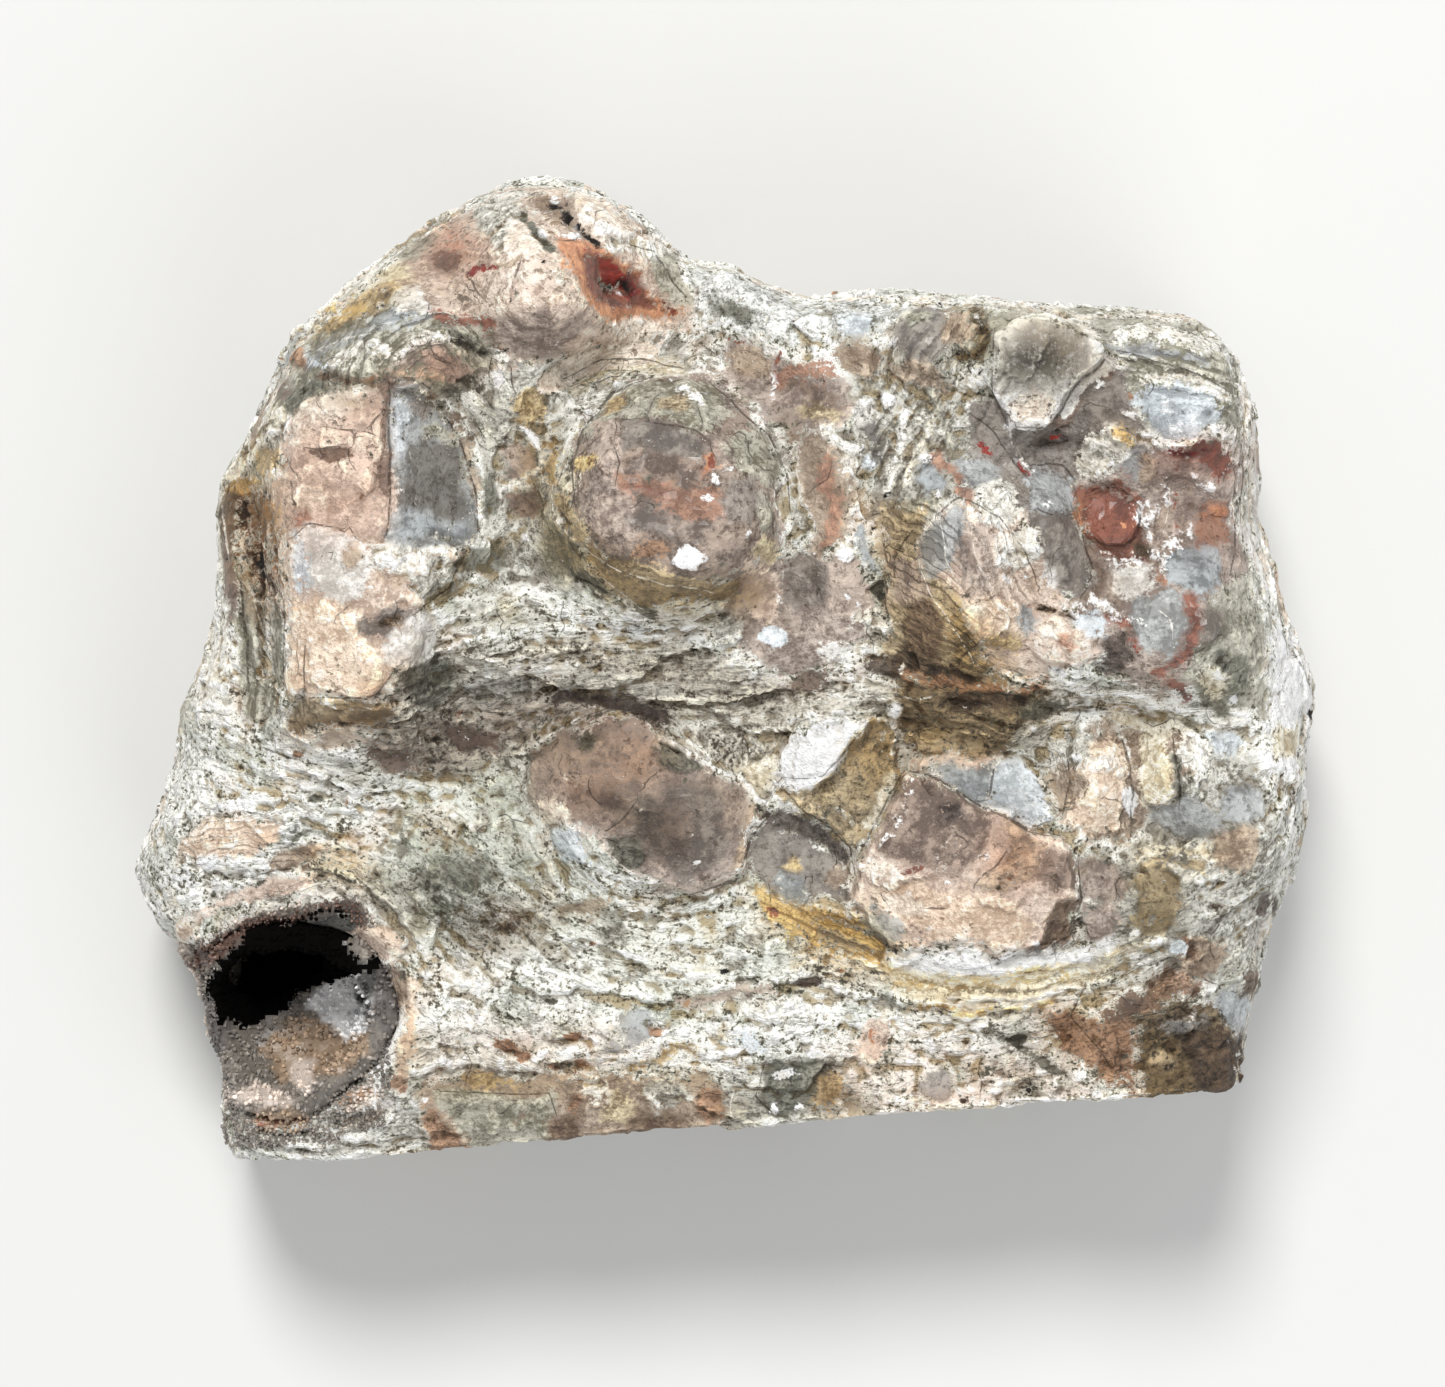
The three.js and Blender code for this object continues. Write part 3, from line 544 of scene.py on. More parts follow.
    ("olive", 0.15, streak(0.8, 152, 122, 164, 130, 168, 136)),
    ("frost", 0.1, area(170, 110, 200, 136, 210, 110, 196, 80, 174, 70)),
    ("mauve", 0, blob(218, 90, 1.5, 2.8, 8)),
    ("mauve", 0, area(142, 94, 168, 90, 176, 60, 160, 46, 144, 54)),
    ("brown", -0.1, area(158, 50, 176, 54, 186, 26, 180, 4, 160, 2, 152, 24)),
    ("goldOlive", 0.15, area(196, 50, 210, 36, 216, 12, 236, -4, 210, -8, 194, 14)),
    ("tan", 0.2, streak(0.6, 139, 100, 142, 70, 138, 40)), ("peach", 0.4, blob(230, 38, 2.4, 2.2, -20)),
    ("ochre", 0, blob(238, 18, 1.5, 0.8, -10)),
    ("darkBrown", -0.2, area(118, 0, 150, 14, 180, 2, 220, -8, 210, -18, 140, -14)),
    ("cream", 0.1, blob(252, 98, 1.9, 2.2, -10)), ("milk", 0.1, blob(282, 74, 1.2, 1.1)),
    ("frost", 0.35, area(256, 154, 270, 170, 294, 160, 302, 134, 288, 122, 264, 130)),
    ("greyWindow", 0.25, area(270, 120, 290, 124, 310, 90, 312, 60, 294, 54, 276, 86)),
    ("rose", 0.3, blob(286, 19, 2.6, 1.8, -10)), ("rosy", 0, blob(294, 19, 0.8, 0.5, -20)),
    ("frost", 0.1, blob(258, 36, 1, 1)),
    # right block: shell, shoulder, side
    ("milk", 0.4, area(232, 286, 250, 298, 274, 296, 300, 282, 332, 269, 322, 254, 304, 242, 290, 220,
        276, 202, 242, 204, 230, 226, 236, 250), 0.6),
    ("paleRind", 0, blob(262, 218, 2.2, 1.1, 12)),
    ("mauveBrown", -0.3, streak(1.5, 286, 204, 306, 228, 324, 248)),
    ("greyWindow", 0.1, blob(326, 222, 1.6, 1.9, -20)), ("darkMauve", -0.1, blob(282, 190, 1.8, 0.9, 10)),
    ("cream", 0.2, streak(0.9, 256, 302, 290, 294, 320, 282)),
    ("blueFrost", 0.1, area(350, 226, 376, 244, 416, 234, 430, 210, 406, 190, 376, 194, 364, 206)),
    ("cream", 0.2, streak(1, 340, 282, 380, 286, 420, 272)),
    ("frost", 0, streak(0.8, 336, 270, 370, 270, 410, 260)),
    ("cream", 0.15, streak(0.8, 360, 244, 400, 246, 430, 228)),
    ("milk", 0.3, streak(1.3, 442, 270, 454, 220, 456, 150, 450, 100)),
    ("cream", 0.3, area(300, 174, 310, 193, 330, 200, 344, 194, 342, 178, 332, 166, 314, 158), 0.5),
    ("gold", 0.05, blob(339, 192, 0.9, 0.6, -30)), ("frost", 0.05, blob(354, 170, 1.4, 1.8)),
    ("tan", 0.1, blob(360, 164, 0.9, 1.6)),
    # right block: carnelian pocket and striped nodule
    ("mauve", -0.15, area(370, 180, 398, 180, 400, 110, 380, 102, 368, 114, 366, 150)),
    ("redBrown", -0.2, area(376, 186, 396, 184, 416, 186, 428, 178, 430, 158, 418, 158, 402, 172,
        384, 176)),
    ("rosy", -0.1, area(404, 138, 432, 136, 434, 100, 402, 96)), ("orange", 0.1, blob(420, 128, 1.1, 0.8)),
    ("redBrown", -0.35, area(296, 146, 310, 150, 334, 156, 356, 140, 362, 110, 356, 90, 334, 86, 308, 100)),
    ("carnelian", 0.8, blob(332, 124, 2.4)), ("orange", 0.15, streak(0.8, 305, 140, 300, 126, 307, 112)),
    ("darkBrown", -0.1, blob(357, 98, 0.9, 0.6, -20)),
    ("blueGrey", 0.15, area(372, 96, 390, 104, 420, 96, 430, 70, 404, 56, 374, 68)),
    ("milk", 0.1, blob(346, 74, 1.7, 1.6)), ("mauveBrown", 0, streak(1, 312, 98, 320, 78, 316, 58)),
    ("frost", 0.1, area(350, 56, 380, 64, 392, 36, 380, 8, 356, 10, 346, 32)),
    ("redBrown", -0.1, streak(1, 394, 54, 400, 34, 394, 12, 380, 0, 370, -9)),
    ("redBrown", -0.05, streak(0.8, 334, 42, 345, 30, 348, 14)),
    ("redBrown", 0, streak(0.9, 374, -6, 386, -18, 392, -30)),
    ("blueFrost", 0.25, area(302, 44, 320, 50, 330, 40, 316, 22, 302, 30)),
    ("darkMauve", -0.15, area(320, 20, 340, 26, 348, 6, 340, -12, 320, -6)),
    ("greyWindow", 0.2, area(404, 50, 424, 46, 430, 30, 416, 14, 402, 16)),
    ("darkGreen", 0.1, blob(432, -10, 1.5, 1.6)), ("yellowCream", 0.1, blob(416, -16, 0.9, 1.3, 20)),
    ("darkGreen", -0.2, blob(410, -41, 1.8, 0.6, -8)),
    ("chalk", 0.1, area(462, -90, 485, -100, 504, -30, 490, 20, 466, 40, 466, -30)),
    # ledge under the right block
    ("rust", 0.25, streak(0.9, 156, -10, 190, -18, 230, -22, 270, -18)),
    # the dark brown strip under the ledge's rusty edge is painted shadow
    ("darkBrown", -0.4, area(190, -29, 220, -27, 264, -28, 256, -40, 220, -42, 196, -39)),
    ("olive", 0.15, blob(190, -66, 3.2, 1.1, -6)), ("ochre", 0, blob(178, -60, 1.3, 0.7)),
    ("rose", 0.25, streak(0.6, 164, -84, 200, -88, 232, -79)), ("darkGreen", 0, blob(270, -40, 1.8, 1, 10)),
    ("cream", 0.35, streak(1, 280, -14, 330, -24, 380, -38, 440, -46)),
    ("yellowCream", 0.2, streak(0.9, 336, -46, 380, -54, 406, -64)),
    ("blueFrost", 0.1, blob(424, -66, 1.6, 1.2, -20)),
    # slab: grey mass
    ("mauve", 0.1, area(-134, -66, -90, -58, -58, -64, -46, -90, -80, -102, -126, -98)),
    ("darkGreen", 0, area(-58, -66, -40, -70, -22, -90, -40, -98, -56, -90)),
    ("darkGreen", 0, blob(-120, -64, 1.1, 0.6)),
    ("nodule", 0, area(-136, -104, -90, -108, -74, -130, -96, -148, -134, -132)),
    ("paleRind", 0.1, blob(-146, -126, 1.4, 1.2)),
    ("mauveGrey", 0, area(-70, -114, -40, -126, -54, -156, -80, -146)),
    ("darkGreen", -0.2, area(-102, -150, -74, -146, -60, -164, -66, -180, -90, -172)),
    ("mauveGrey", 0, area(-54, -106, -10, -104, 6, -126, 0, -164, -34, -186, -60, -160)),
    ("mauve", 0.1, blob(12, -126, 1.2, 1.6, -20)),
    ("blueFrost", 0.2, area(-153, -142, -130, -144, -114, -168, -136, -170, -150, -158)),
    ("cream", 0.4, streak(0.6, -50, -60, -25, -82, 0, -93, 20, -108, 38, -124)),
    ("cream", 0.2, blob(34, -118, 1, 0.7, -35)), ("tan", 0.3, streak(0.7, 29, -130, 15, -154, 8, -176)),
    ("olive", 0, area(-30, -54, 16, -58, 26, -70, 0, -76)),
    # slab: facets between the nodules
    ("brokenRock", 0, area(-40, -54, 40, -50, 60, -55, 40, -96, 10, -92)),
    ("yellowCream", 0, area(10, -90, 40, -76, 48, -96, 36, -116)),
    ("chalk", 0.1, area(46, -99, 48, -74, 68, -58, 96, -48, 123, -46, 106, -72, 83, -94, 58, -108), 0.6),
    ("goldOlive", 0, area(126, -46, 146, -50, 152, -80, 154, -105, 132, -138, 108, -156, 90, -139, 64, -124,
        50, -114, 83, -94, 105, -73), 0.9),
    ("darkOlive", 0, blob(136, -68, 0.7, 1.6)), ("darkOlive", 0, blob(96, -130, 1.6, 0.8, -35)),
    ("yellowCream", 0, streak(1, 143, -94, 136, -118, 120, -136)),
    ("darkMauve", -0.2, area(38, -132, 50, -125, 68, -128, 88, -140, 109, -160, 107, -176, 85, -154,
        60, -144, 40, -144), 0.8),
    ("greyWindow", 0, area(35, -139, 60, -144, 85, -154, 106, -177, 110, -200, 85, -194, 70, -199, 50, -205,
        30, -185, 19, -180, 22, -155), 0.9),
    ("blueGrey", 0.1, area(45, -182, 72, -184, 70, -200, 54, -206, 46, -196)),
    ("tan", 0.05, blob(96, -179, 1, 1.2, -20)), ("gold", 0.05, blob(60, -172, 1, 0.5, 10)),
    # rose nodule
    ("nodule", 0, area(134, -130, 156, -96, 175, -95, 200, -109, 230, -130, 220, -160, 190, -176, 154, -168,
        126, -160)),
    ("darkMauve", -0.05, area(176, -116, 200, -114, 206, -130, 190, -142, 178, -130)),
    ("nodule", 0.15, blob(189, -160, 0.9, 1.5, -25)),
    ("tan", 0.3, area(234, -130, 260, -144, 276, -160, 266, -186, 240, -200, 214, -186, 240, -166)),
    ("mauveBrown", -0.1, area(270, -160, 300, -164, 302, -190, 280, -200, 264, -186)),
    ("brown", -0.25, area(299, -200, 294, -231, 265, -241, 252, -249, 272, -224, 280, -204), 0.8),
    ("peach", 0.15, area(126, -184, 160, -186, 210, -196, 250, -206, 266, -224, 244, -240, 180, -236,
        136, -216)),
    ("frost", 0.05, blob(138, -220, 1.6, 1, -30)), ("paleRind", 0.1, blob(134, -178, 2, 0.9, -10)),
    ("blueGrey", 0, area(172, -88, 200, -91, 232, -84, 223, -119, 200, -107), 0.8),
    ("blueFrost", 0.3, area(234, -84, 250, -80, 270, -100, 279, -132, 260, -139, 221, -120), 0.9),
    ("greyMix", 0.05, area(246, -60, 276, -54, 286, -70, 274, -94, 254, -80)),
    # lumps on the right of the slab
    ("greyMix", 0.2, blob(300, -70, 1.7, 1.8)),
    ("peach", 0.3, area(312, -66, 334, -60, 342, -96, 338, -140, 304, -146, 288, -124, 310, -104)),
    ("yellowCream", 0.3, area(352, -58, 376, -62, 384, -90, 378, -120, 356, -124, 352, -90)),
    ("darkGreen", -0.15, streak(0.8, 386, -80, 385, -104, 380, -124)),
    ("cream", 0.15, blob(402, -74, 1.5, 1.6)), ("frost", -0.1, blob(396, -130, 3.2, 1.4, -5)),
    ("yellowCream", 0.3, streak(0.7, 346, -164, 370, -158, 426, -162)),
    ("olive", 0.15, streak(0.6, 356, -170, 380, -168, 410, -170)),
    ("mauve", -0.1, area(304, -164, 334, -166, 342, -190, 324, -206, 306, -196)),
    ("olive", -0.15, area(346, -178, 366, -172, 386, -180, 389, -204, 380, -229, 358, -234, 343, -216,
        350, -196)),
    ("ochre", 0, blob(362, -216, 1.3, 0.7)), ("mauve", 0, area(306, -204, 330, -206, 334, -234, 310, -244)),
    ("yellowCream", 0.2, streak(0.8, 332, -246, 360, -240, 374, -234)),
    ("frost", 0, blob(440, -120, 1.8, 1.6)), ("tan", 0.1, blob(434, -156, 1.6, 2)),
    ("darkMauve", 0, blob(464, -206, 1.3, 1.3)), ("tan", 0, blob(404, -248, 2.2, 1.6)),
    ("rust", 0, blob(394, -242, 1, 0.7, -30)), ("yellowCream", 0, blob(476, -66, 1.2, 1.6)),
    # layers under the rose nodule
    ("gold", 0, area(28, -192, 70, -208, 110, -210, 140, -233, 152, -256, 120, -252, 80, -242, 50, -226,
        30, -206)),
    ("olive", -0.1, area(76, -216, 114, -220, 136, -244, 104, -248, 80, -236)),
    ("chalk", 0.3, streak(1.7, 146, -248, 190, -252, 234, -254, 280, -250, 330, -238)),
    ("gold", -0.05, streak(0.45, 148, -263, 180, -264, 220, -266, 270, -264, 310, -254)),
    ("olive", -0.1, streak(0.4, 146, -274, 180, -280, 220, -279, 270, -277, 300, -272, 340, -258)),
    ("gold", 0, streak(0.3, 154, -270, 200, -274, 260, -272, 300, -266)),
    ("cream", 0.15, streak(0.9, 190, -288, 240, -288, 300, -282)),
    ("gold", 0, streak(0.35, 160, -293, 220, -294, 280, -290)),
    # slab: places in the banded rock
    ("darkMauve", -0.3, streak(1.7, -142, -24, -110, -32, -80, -37, -56, -44)),
    ("greyMix", 0, blob(-90, -18, 5.5, 1.2, -4)), ("mauveBrown", -0.1, blob(-280, -80, 2.6, 0.9, -12)),
    ("mauveBrown", -0.1, blob(-216, -64, 3, 0.9, -14)), ("darkGreen", -0.1, blob(-250, -14, 2.4, 2, 30)),
    ("greyMix", 0, blob(-190, -20, 3, 1.6, -10)), ("mauveBrown", -0.05, blob(70, -15, 1.7, 0.9, -5), 0.6),
    ("greyMix", 0, blob(-230, -180, 3.4, 1.6, 6)), ("tan", 0, blob(-120, -206, 2.4, 0.8, 8)),
    ("greyMix", 0, blob(-94, -226, 1.3, 1.6)), ("frost", -0.05, blob(-74, -306, 1.5, 1.2, 20)),
    ("frost", 0, blob(-93, -324, 1.3, 0.5, 10)), ("mauve", 0, streak(0.9, -36, -284, 0, -282, 38, -278)),
    ("cream", 0.3, blob(-215, -266, 4, 1.2, -4)), ("cream", 0.3, blob(-30, -256, 3.4, 0.8, 2)),
    ("cream", 0.3, blob(46, -294, 3, 0.9)),
    ("cream", 0.5, streak(1.1, -262, -342, -240, -334, -200, -338, -154, -336, -120, -330)),
    ("ochre", 0, streak(0.9, -70, -340, -46, -330, -24, -326)),
    ("blueFrost", 0.1, blob(25, -320, 1.2, 0.8)), ("pinkRind", 0.05, blob(125, -320, 1.6, 1.8)),
    ("darkGreen", -0.15, streak(0.9, 224, -314, 250, -326, 286, -346)),
    # front margin
    ("greenGrey", 0.1, area(-243, -362, -220, -355, -170, -366, -148, -364, -142, -382, -154, -410,
        -210, -416, -224, -400), 0.7),
    ("greenGrey", 0, blob(-186, -380, 2.2, 1.4)),
    ("rust", 0.05, area(-250, -373, -238, -379, -218, -415, -250, -416)),
    ("brown", 0, area(-144, -382, -128, -380, -118, -406, -154, -410)),
    ("ochre", 0, blob(-200, -356, 2.2, 0.6)), ("olive", 0.1, blob(-90, -376, 1.1, 1.2)),
    ("brown", -0.05, area(-80, -380, -50, -376, -36, -390, -60, -402, -96, -400)),
    ("greyMix", 0.05, blob(-50, -362, 2.2, 1.1)), ("rust", 0, blob(-16, -375, 1.3, 1.4)),
    ("rust", 0, blob(-128, -366, 0.6, 1.6)), ("cream", 0.15, blob(-114, -360, 1.3, 0.8)),
    ("darkGreen", -0.05, area(34, -338, 90, -334, 80, -370, 50, -386, 26, -370)),
    ("ochre", 0, blob(88, -362, 1, 1.6)), ("greenGrey", 0, blob(114, -376, 1.2, 0.8)),
    ("frost", 0, blob(180, -354, 1.6, 1.4)),
    ("darkOlive", 0, area(352, -310, 380, -316, 396, -330, 394, -368, 352, -368)),
    ("olive", 0, blob(372, -336, 1.2, 0.8)),
    ("darkBrown", 0, area(386, -306, 398, -310, 438, -312, 446, -330, 442, -368, 400, -372)),
    ("brown", 0, blob(420, -332, 1.6, 0.6)),
    ("blueFrost", 0.1, area(414, -294, 424, -274, 442, -284, 442, -310, 420, -305)),
    ("brown", 0.2, blob(451, -273, 1, 1.4)), ("frost", 0, blob(388, -306, 1.4, 0.6)),
    ("mauveBrown", 0, blob(340, -290, 2, 0.9, 25)),
    # lower left
    ("peach", 0.1, area(-465, -157, -440, -136, -400, -130, -375, -135, -376, -150, -400, -164, -430, -164,
        -450, -175)),
    ("chalk", 0.15, blob(-436, -168, 1.5, 0.5, 15)), ("chalk", 0.15, blob(-460, -184, 1, 0.5, -20)),
    ("chalk", 0.1, blob(-414, -120, 1.8, 0.5, 15)), ("tan", 0.05, blob(-366, -164, 2, 0.8, 14)),
    ("speckled", 0, blob(-354, -146, 2.2, 1, 5)),
    ("rose", 0.3, area(-458, -234, -444, -216, -408, -200, -374, -198, -346, -192, -348, -178, -380, -180,
        -406, -189, -438, -203, -460, -226)),
    ("peach", 0.1, blob(-457, -232, 0.9, 1.3, -30)),
    ("darkMauve", 0.1, area(-454, -250, -420, -224, -384, -212, -350, -204, -320, -201, -302, -210,
        -304, -226, -336, -230, -380, -240, -420, -260, -444, -274)),
    # black over the hollow's mouth is painted shade under its overhanging lip
    ("black", 0, area(-440, -264, -412, -239, -380, -225, -350, -215, -322, -211, -308, -218, -314, -234,
        -350, -236, -390, -250, -430, -276)),
    ("rose", 0.4, area(-320, -232, -312, -221, -290, -218, -274, -230, -272, -246, -295, -251, -313, -245),
        0.3),
    ("peach", 0.2, streak(1.3, -269, -266, -263, -310, -273, -346)),
    ("rust", 0, blob(-274, -354, 0.8, 0.9)),
    ("brown", -0.1, area(-294, -254, -270, -256, -266, -280, -280, -300)),
    ("redBrown", 0, blob(-376, -383, 2.3, 0.9)), ("milk", 0, blob(-290, -374, 1.7, 1)),
    ("rust", 0, blob(-312, -364, 1, 0.7, 30)), ("brown", 0, blob(-300, -384, 1.6, 0.6, 20)),
    ("cream", 0.2, streak(0.7, -390, -404, -340, -408, -300, -400, -280, -386)),
]

marks = [
    # back dome
    ("black", -0.5, streak(0.45, -149, 394, -140, 390, -132, 379, -120, 369, -107, 359)),
    ("chalk", 0.1, blob(-159, 369, 0.8, 0.4, -20)),
    ("darkGreen", -0.15, streak(0.7, -172, 382, -160, 366, -149, 352)),
    ("red", -0.15, streak(0.5, -220, 334, -210, 339, -199, 340)),
    ("tan", 0.1, streak(0.35, -197, 341, -182, 342, -175, 348)),
    ("red", -0.5, area(-104, 347, -90, 340, -71, 319, -81, 312, -96, 318, -104, 330)),
    ("red", 0, streak(0.3, -120, 354, -108, 352, -96, 344)),
    ("carnelian", -0.1, streak(0.35, -52, 312, -43, 302)),
    # pink face and left edge
    ("mauveBrown", -0.35, area(-359, 184, -348, 177, -334, 171, -314, 179, -326, 184, -344, 182)),
    ("black", -0.5, streak(0.5, -406, 126, -400, 104, -392, 76)),
    # saddle and centre nodule
    ("paleRind", 0, streak(1.9, -150, 238, -130, 252, -100, 263, -64, 267)),
    ("milk", 0, streak(1.5, 290, 218, 309, 243, 328, 258)),
    ("gold", 0, streak(0.8, 84, -220, 110, -229, 134, -240)),
    ("chalk", 0.4, area(-180, 207, -168, 200, -157, 192, -158, 180, -164, 185, -170, 195)),
    ("chalk", 0.4, area(-44, 85, -40, 98, -32, 102, -23, 98, -16, 90, -27, 79, -38, 80)),
    ("redBrown", -0.05, streak(0.35, -90, 151, -64, 148, -32, 140)),
    ("chalk", 0.15, blob(43, 242, 0.15, 1)), ("redBrown", 0, streak(0.3, 48, 266, 44, 250, 49, 240)),
    ("darkGreen", -0.5, area(122, 63, 135, 77, 137, 48, 129, 56)),
    ("redBrown", -0.1, streak(0.25, 2, 278, 18, 274)),
    # right block
    ("red", 0, streak(0.4, 216, 188, 228, 181)), ("red", 0.05, streak(0.45, 252, 172, 259, 162)),
    ("red", 0, streak(0.3, 276, 192, 290, 194)),
    ("darkBrown", -0.3, streak(0.4, 266, 48, 284, 44, 300, 40)),
    ("orange", 0, streak(0.2, 324, 130, 336, 120, 348, 114)),
    ("orange", 0, streak(0.2, 332, 146, 346, 134)), ("red", 0, streak(0.35, 380, 182, 398, 178, 418, 182)),
    ("redBrown", 0, streak(0.25, 386, 170, 384, 140, 388, 114)), ("red", 0, streak(0.2, 350, 8, 344, 24)),
    # ledge and slab
    ("redBrown", 0, streak(0.35, 153, -178, 168, -174)),
    ("chalk", 0.3, area(338, -110, 346, -104, 353, -120, 346, -132, 340, -122)),
    ("black", -0.4, streak(0.4, -397, -396, -370, -400, -348, -396)),
    ("darkGreen", -0.2, streak(0.4, -366, -150, -348, -142, -330, -150)),
]
# small spots by finish: rise in mm, then place and size as a blob has them
spots = {
    "black": [(-0.8, -134, 379, 0.7, 0.4, -25), (-1.1, -87, 323, 0.8, 0.55, -40),
        (-0.3, 201, 267, 0.5, 0.25), (-0.2, 184, 308, 0.3), (-0.2, 224, -180, 0.22),
        (-0.2, 0, -261, 0.4, 0.25), (-0.2, 166, -310, 0.25), (-0.2, 258, -362, 0.3),
        (-0.3, 489, -132, 0.25, 0.6), (-0.3, 500, -43, 0.4, 0.5)],
    "chalk": [(0.1, -146, 400, 0.4, 0.3), (0.15, -129, 366, 0.7, 0.35, 10), (0, -89, 318, 0.25, 0.12),
        (0.15, -193, 242, 0.5, 0.8, 10), (0.1, -267, 134, 0.25, 0.15), (0.1, -248, 110, 0.3),
        (0.1, -233, 117, 0.35, 0.2, 30), (0.1, -140, 120, 0.3), (0.1, -168, 108, 0.5, 0.3),
        (0.15, -13, 142, 0.45, 0.35), (0.15, -4, 125, 0.25), (0.15, -6, 157, 0.35, 0.6, 20),
        (0.1, 22, 148, 0.25), (0.25, 105, 91, 0.7, 0.6), (0.2, 139, 226, 0.7, 0.5, -25),
        (0.1, 146, 275, 0.25), (0.1, 321, 237, 0.4, 0.35), (0.15, 346, 212, 0.5, 0.25),
        (0.15, 171, 175, 0.5, 0.3), (0.2, 182, 143, 0.3, 0.4), (0.1, 241, 71, 0.3), (0.1, 258, 70, 0.25),
        (0.1, 434, -30, 0.35), (0.15, 288, -9, 0.7, 0.35, -20), (0.35, 145, -39, 0.6, 0.6),
        (0.1, -69, -140, 0.2), (0.1, -25, -144, 0.3), (0.1, -25, -169, 0.25), (0.1, -134, -98, 0.18),
        (0.2, 298, -79, 0.5, 0.35), (0.25, 349, -228, 0.6, 0.4), (0.25, 368, -236, 0.9, 0.3, 10),
        (0.2, 50, -348, 1, 0.4, 10), (0.2, 76, -332, 0.6, 0.3), (0.2, 62, -376, 0.4),
        (0.2, 42, -378, 0.3, 0.5), (0.1, 435, -330, 0.25), (0.1, 433, -344, 0.2)],
    "rust": [(0, -309, 140, 0.3), (0, 98, -259, 0.5, 0.35), (0, -57, -312, 0.6, 0.45),
        (0, -186, -324, 1.1, 0.6, -15), (0, -169, -332, 0.6, 0.5), (0, -126, -318, 0.8, 0.35),
        (0, -122, -340, 0.6, 0.4), (0, -144, -342, 0.7, 0.3), (0, -362, -76, 0.6, 0.4)],
    "paleRind": [(0, 154, -206, 1.8, 1, -10)],
    "cream": [(0, -279, -139, 1.6, 1), (0, -145, -4, 1.8, 0.7)],
    "darkGreen": [(0, -26, 92, 0.15, 0.25), (-0.2, -149, -289, 0.5, 0.25), (-0.2, 248, -320, 0.9, 0.5),
        (-0.2, -346, -115, 0.8, 0.4)],
    "carnelian": [(0, -10, 174, 0.3, 0.6)],
    "blueFrost": [(0.2, 42, 23, 1.3, 0.9, -20), (0.15, -134, -156, 1, 0.7), (0.2, 385, -242, 0.8, 0.7)],
    "rosy": [(0, 370, 73, 0.4, 0.9, 20)],
    "tan": [(0.2, 12, -165, 0.6, 0.9, -20)],
    "darkBrown": [(-0.2, 234, -191, 0.3), (-0.2, 205, -322, 0.4, 0.25), (-0.1, 336, -332, 0.4, 0.3),
        (-0.1, 204, -370, 0.5, 0.3), (-0.2, 418, -206, 0.9, 0.4)],
    "redBrown": [(0, 42, -211, 0.6, 0.35, -20)],
    "darkMauve": [(-0.1, 70, -270, 1.2, 0.4, 12)],
    "orange": [(0, 125, -316, 0.4, 0.5)],
}
marks += [(finish, rise, blob(*spot)) for finish, rows in spots.items() for rise, *spot in rows]

# loose specks over the whole crown, u and v in tenths: finish, how many, size and rise in mm
specks = {
    "seed": 41, "u": (-470, 470), "v": (-380, 400),
    "kinds": [("chalk", 90, 0.24, 0.1), ("black", 70, 0.18, -0.1), ("rust", 40, 0.24, -0.1),
              ("darkGreen", 60, 0.26, -0.1)],
}
dice = np.random.default_rng(specks["seed"])
for kind, count, size, rise in specks["kinds"]:
    for number in range(count):
        u, v = dice.uniform(*specks["u"]), dice.uniform(*specks["v"])
        halfU, halfV = size * dice.uniform(0.5, 1.5), size * dice.uniform(0.5, 1)
        marks.append((kind, rise, blob(u, v, halfU, halfV, dice.uniform(0, 180))))
# crumbs of chalk strewn along lines: greatest size in mm, how many, the line
crumbLines = [
    (0.34, 26, 353, 140, 358, 122, 364, 108), (0.4, 30, 322, 92, 333, 85, 344, 87, 352, 90),
    (0.44, 40, 362, 94, 374, 90, 382, 102, 397, 114), (0.3, 10, 374, 89, 372, 76),
    (0.36, 34, 300, 44, 318, 53, 332, 47, 338, 38), (0.3, 8, 350, 34, 362, 32),
    (0.3, 14, 402, 162, 410, 152, 414, 148), (0.2, 12, 368, 136, 367, 122), (0.2, 12, 378, 148, 376, 132),
    (0.24, 18, 336, -56, 344, -76, 347, -96), (0.3, 16, 142, -46, 146, -60, 149, -70),
    (0.2, 26, 157, -96, 154, -120, 144, -142, 126, -163), (0.24, 20, -42, 234, -32, 232, -20, 224),
    (0.2, 20, 242, 206, 249, 180, 262, 166), (0.22, 20, 379, 226, 382, 206, 394, 196),
]
crumb = {"rise": 0.12, "stray": 0.2}  # mm
for size, count, *numbers in crumbLines:
    path = pairs(numbers)
    for number in range(count):
        step, part = divmod(dice.uniform(0, len(path) - 1.001), 1)
        (au, av), (bu, bv) = path[int(step)], path[int(step) + 1]
        u = au + (bu - au) * part + dice.normal(0, crumb["stray"])
        v = av + (bv - av) * part + dice.normal(0, crumb["stray"])
        halfU, halfV = size * dice.uniform(0.3, 1), size * dice.uniform(0.2, 0.6)
        marks.append(("chalk", crumb["rise"], blob(u * 10, v * 10, halfU, halfV, dice.uniform(0, 180))))
print(len(zones) + len(patches) + len(marks), "places on the crown")

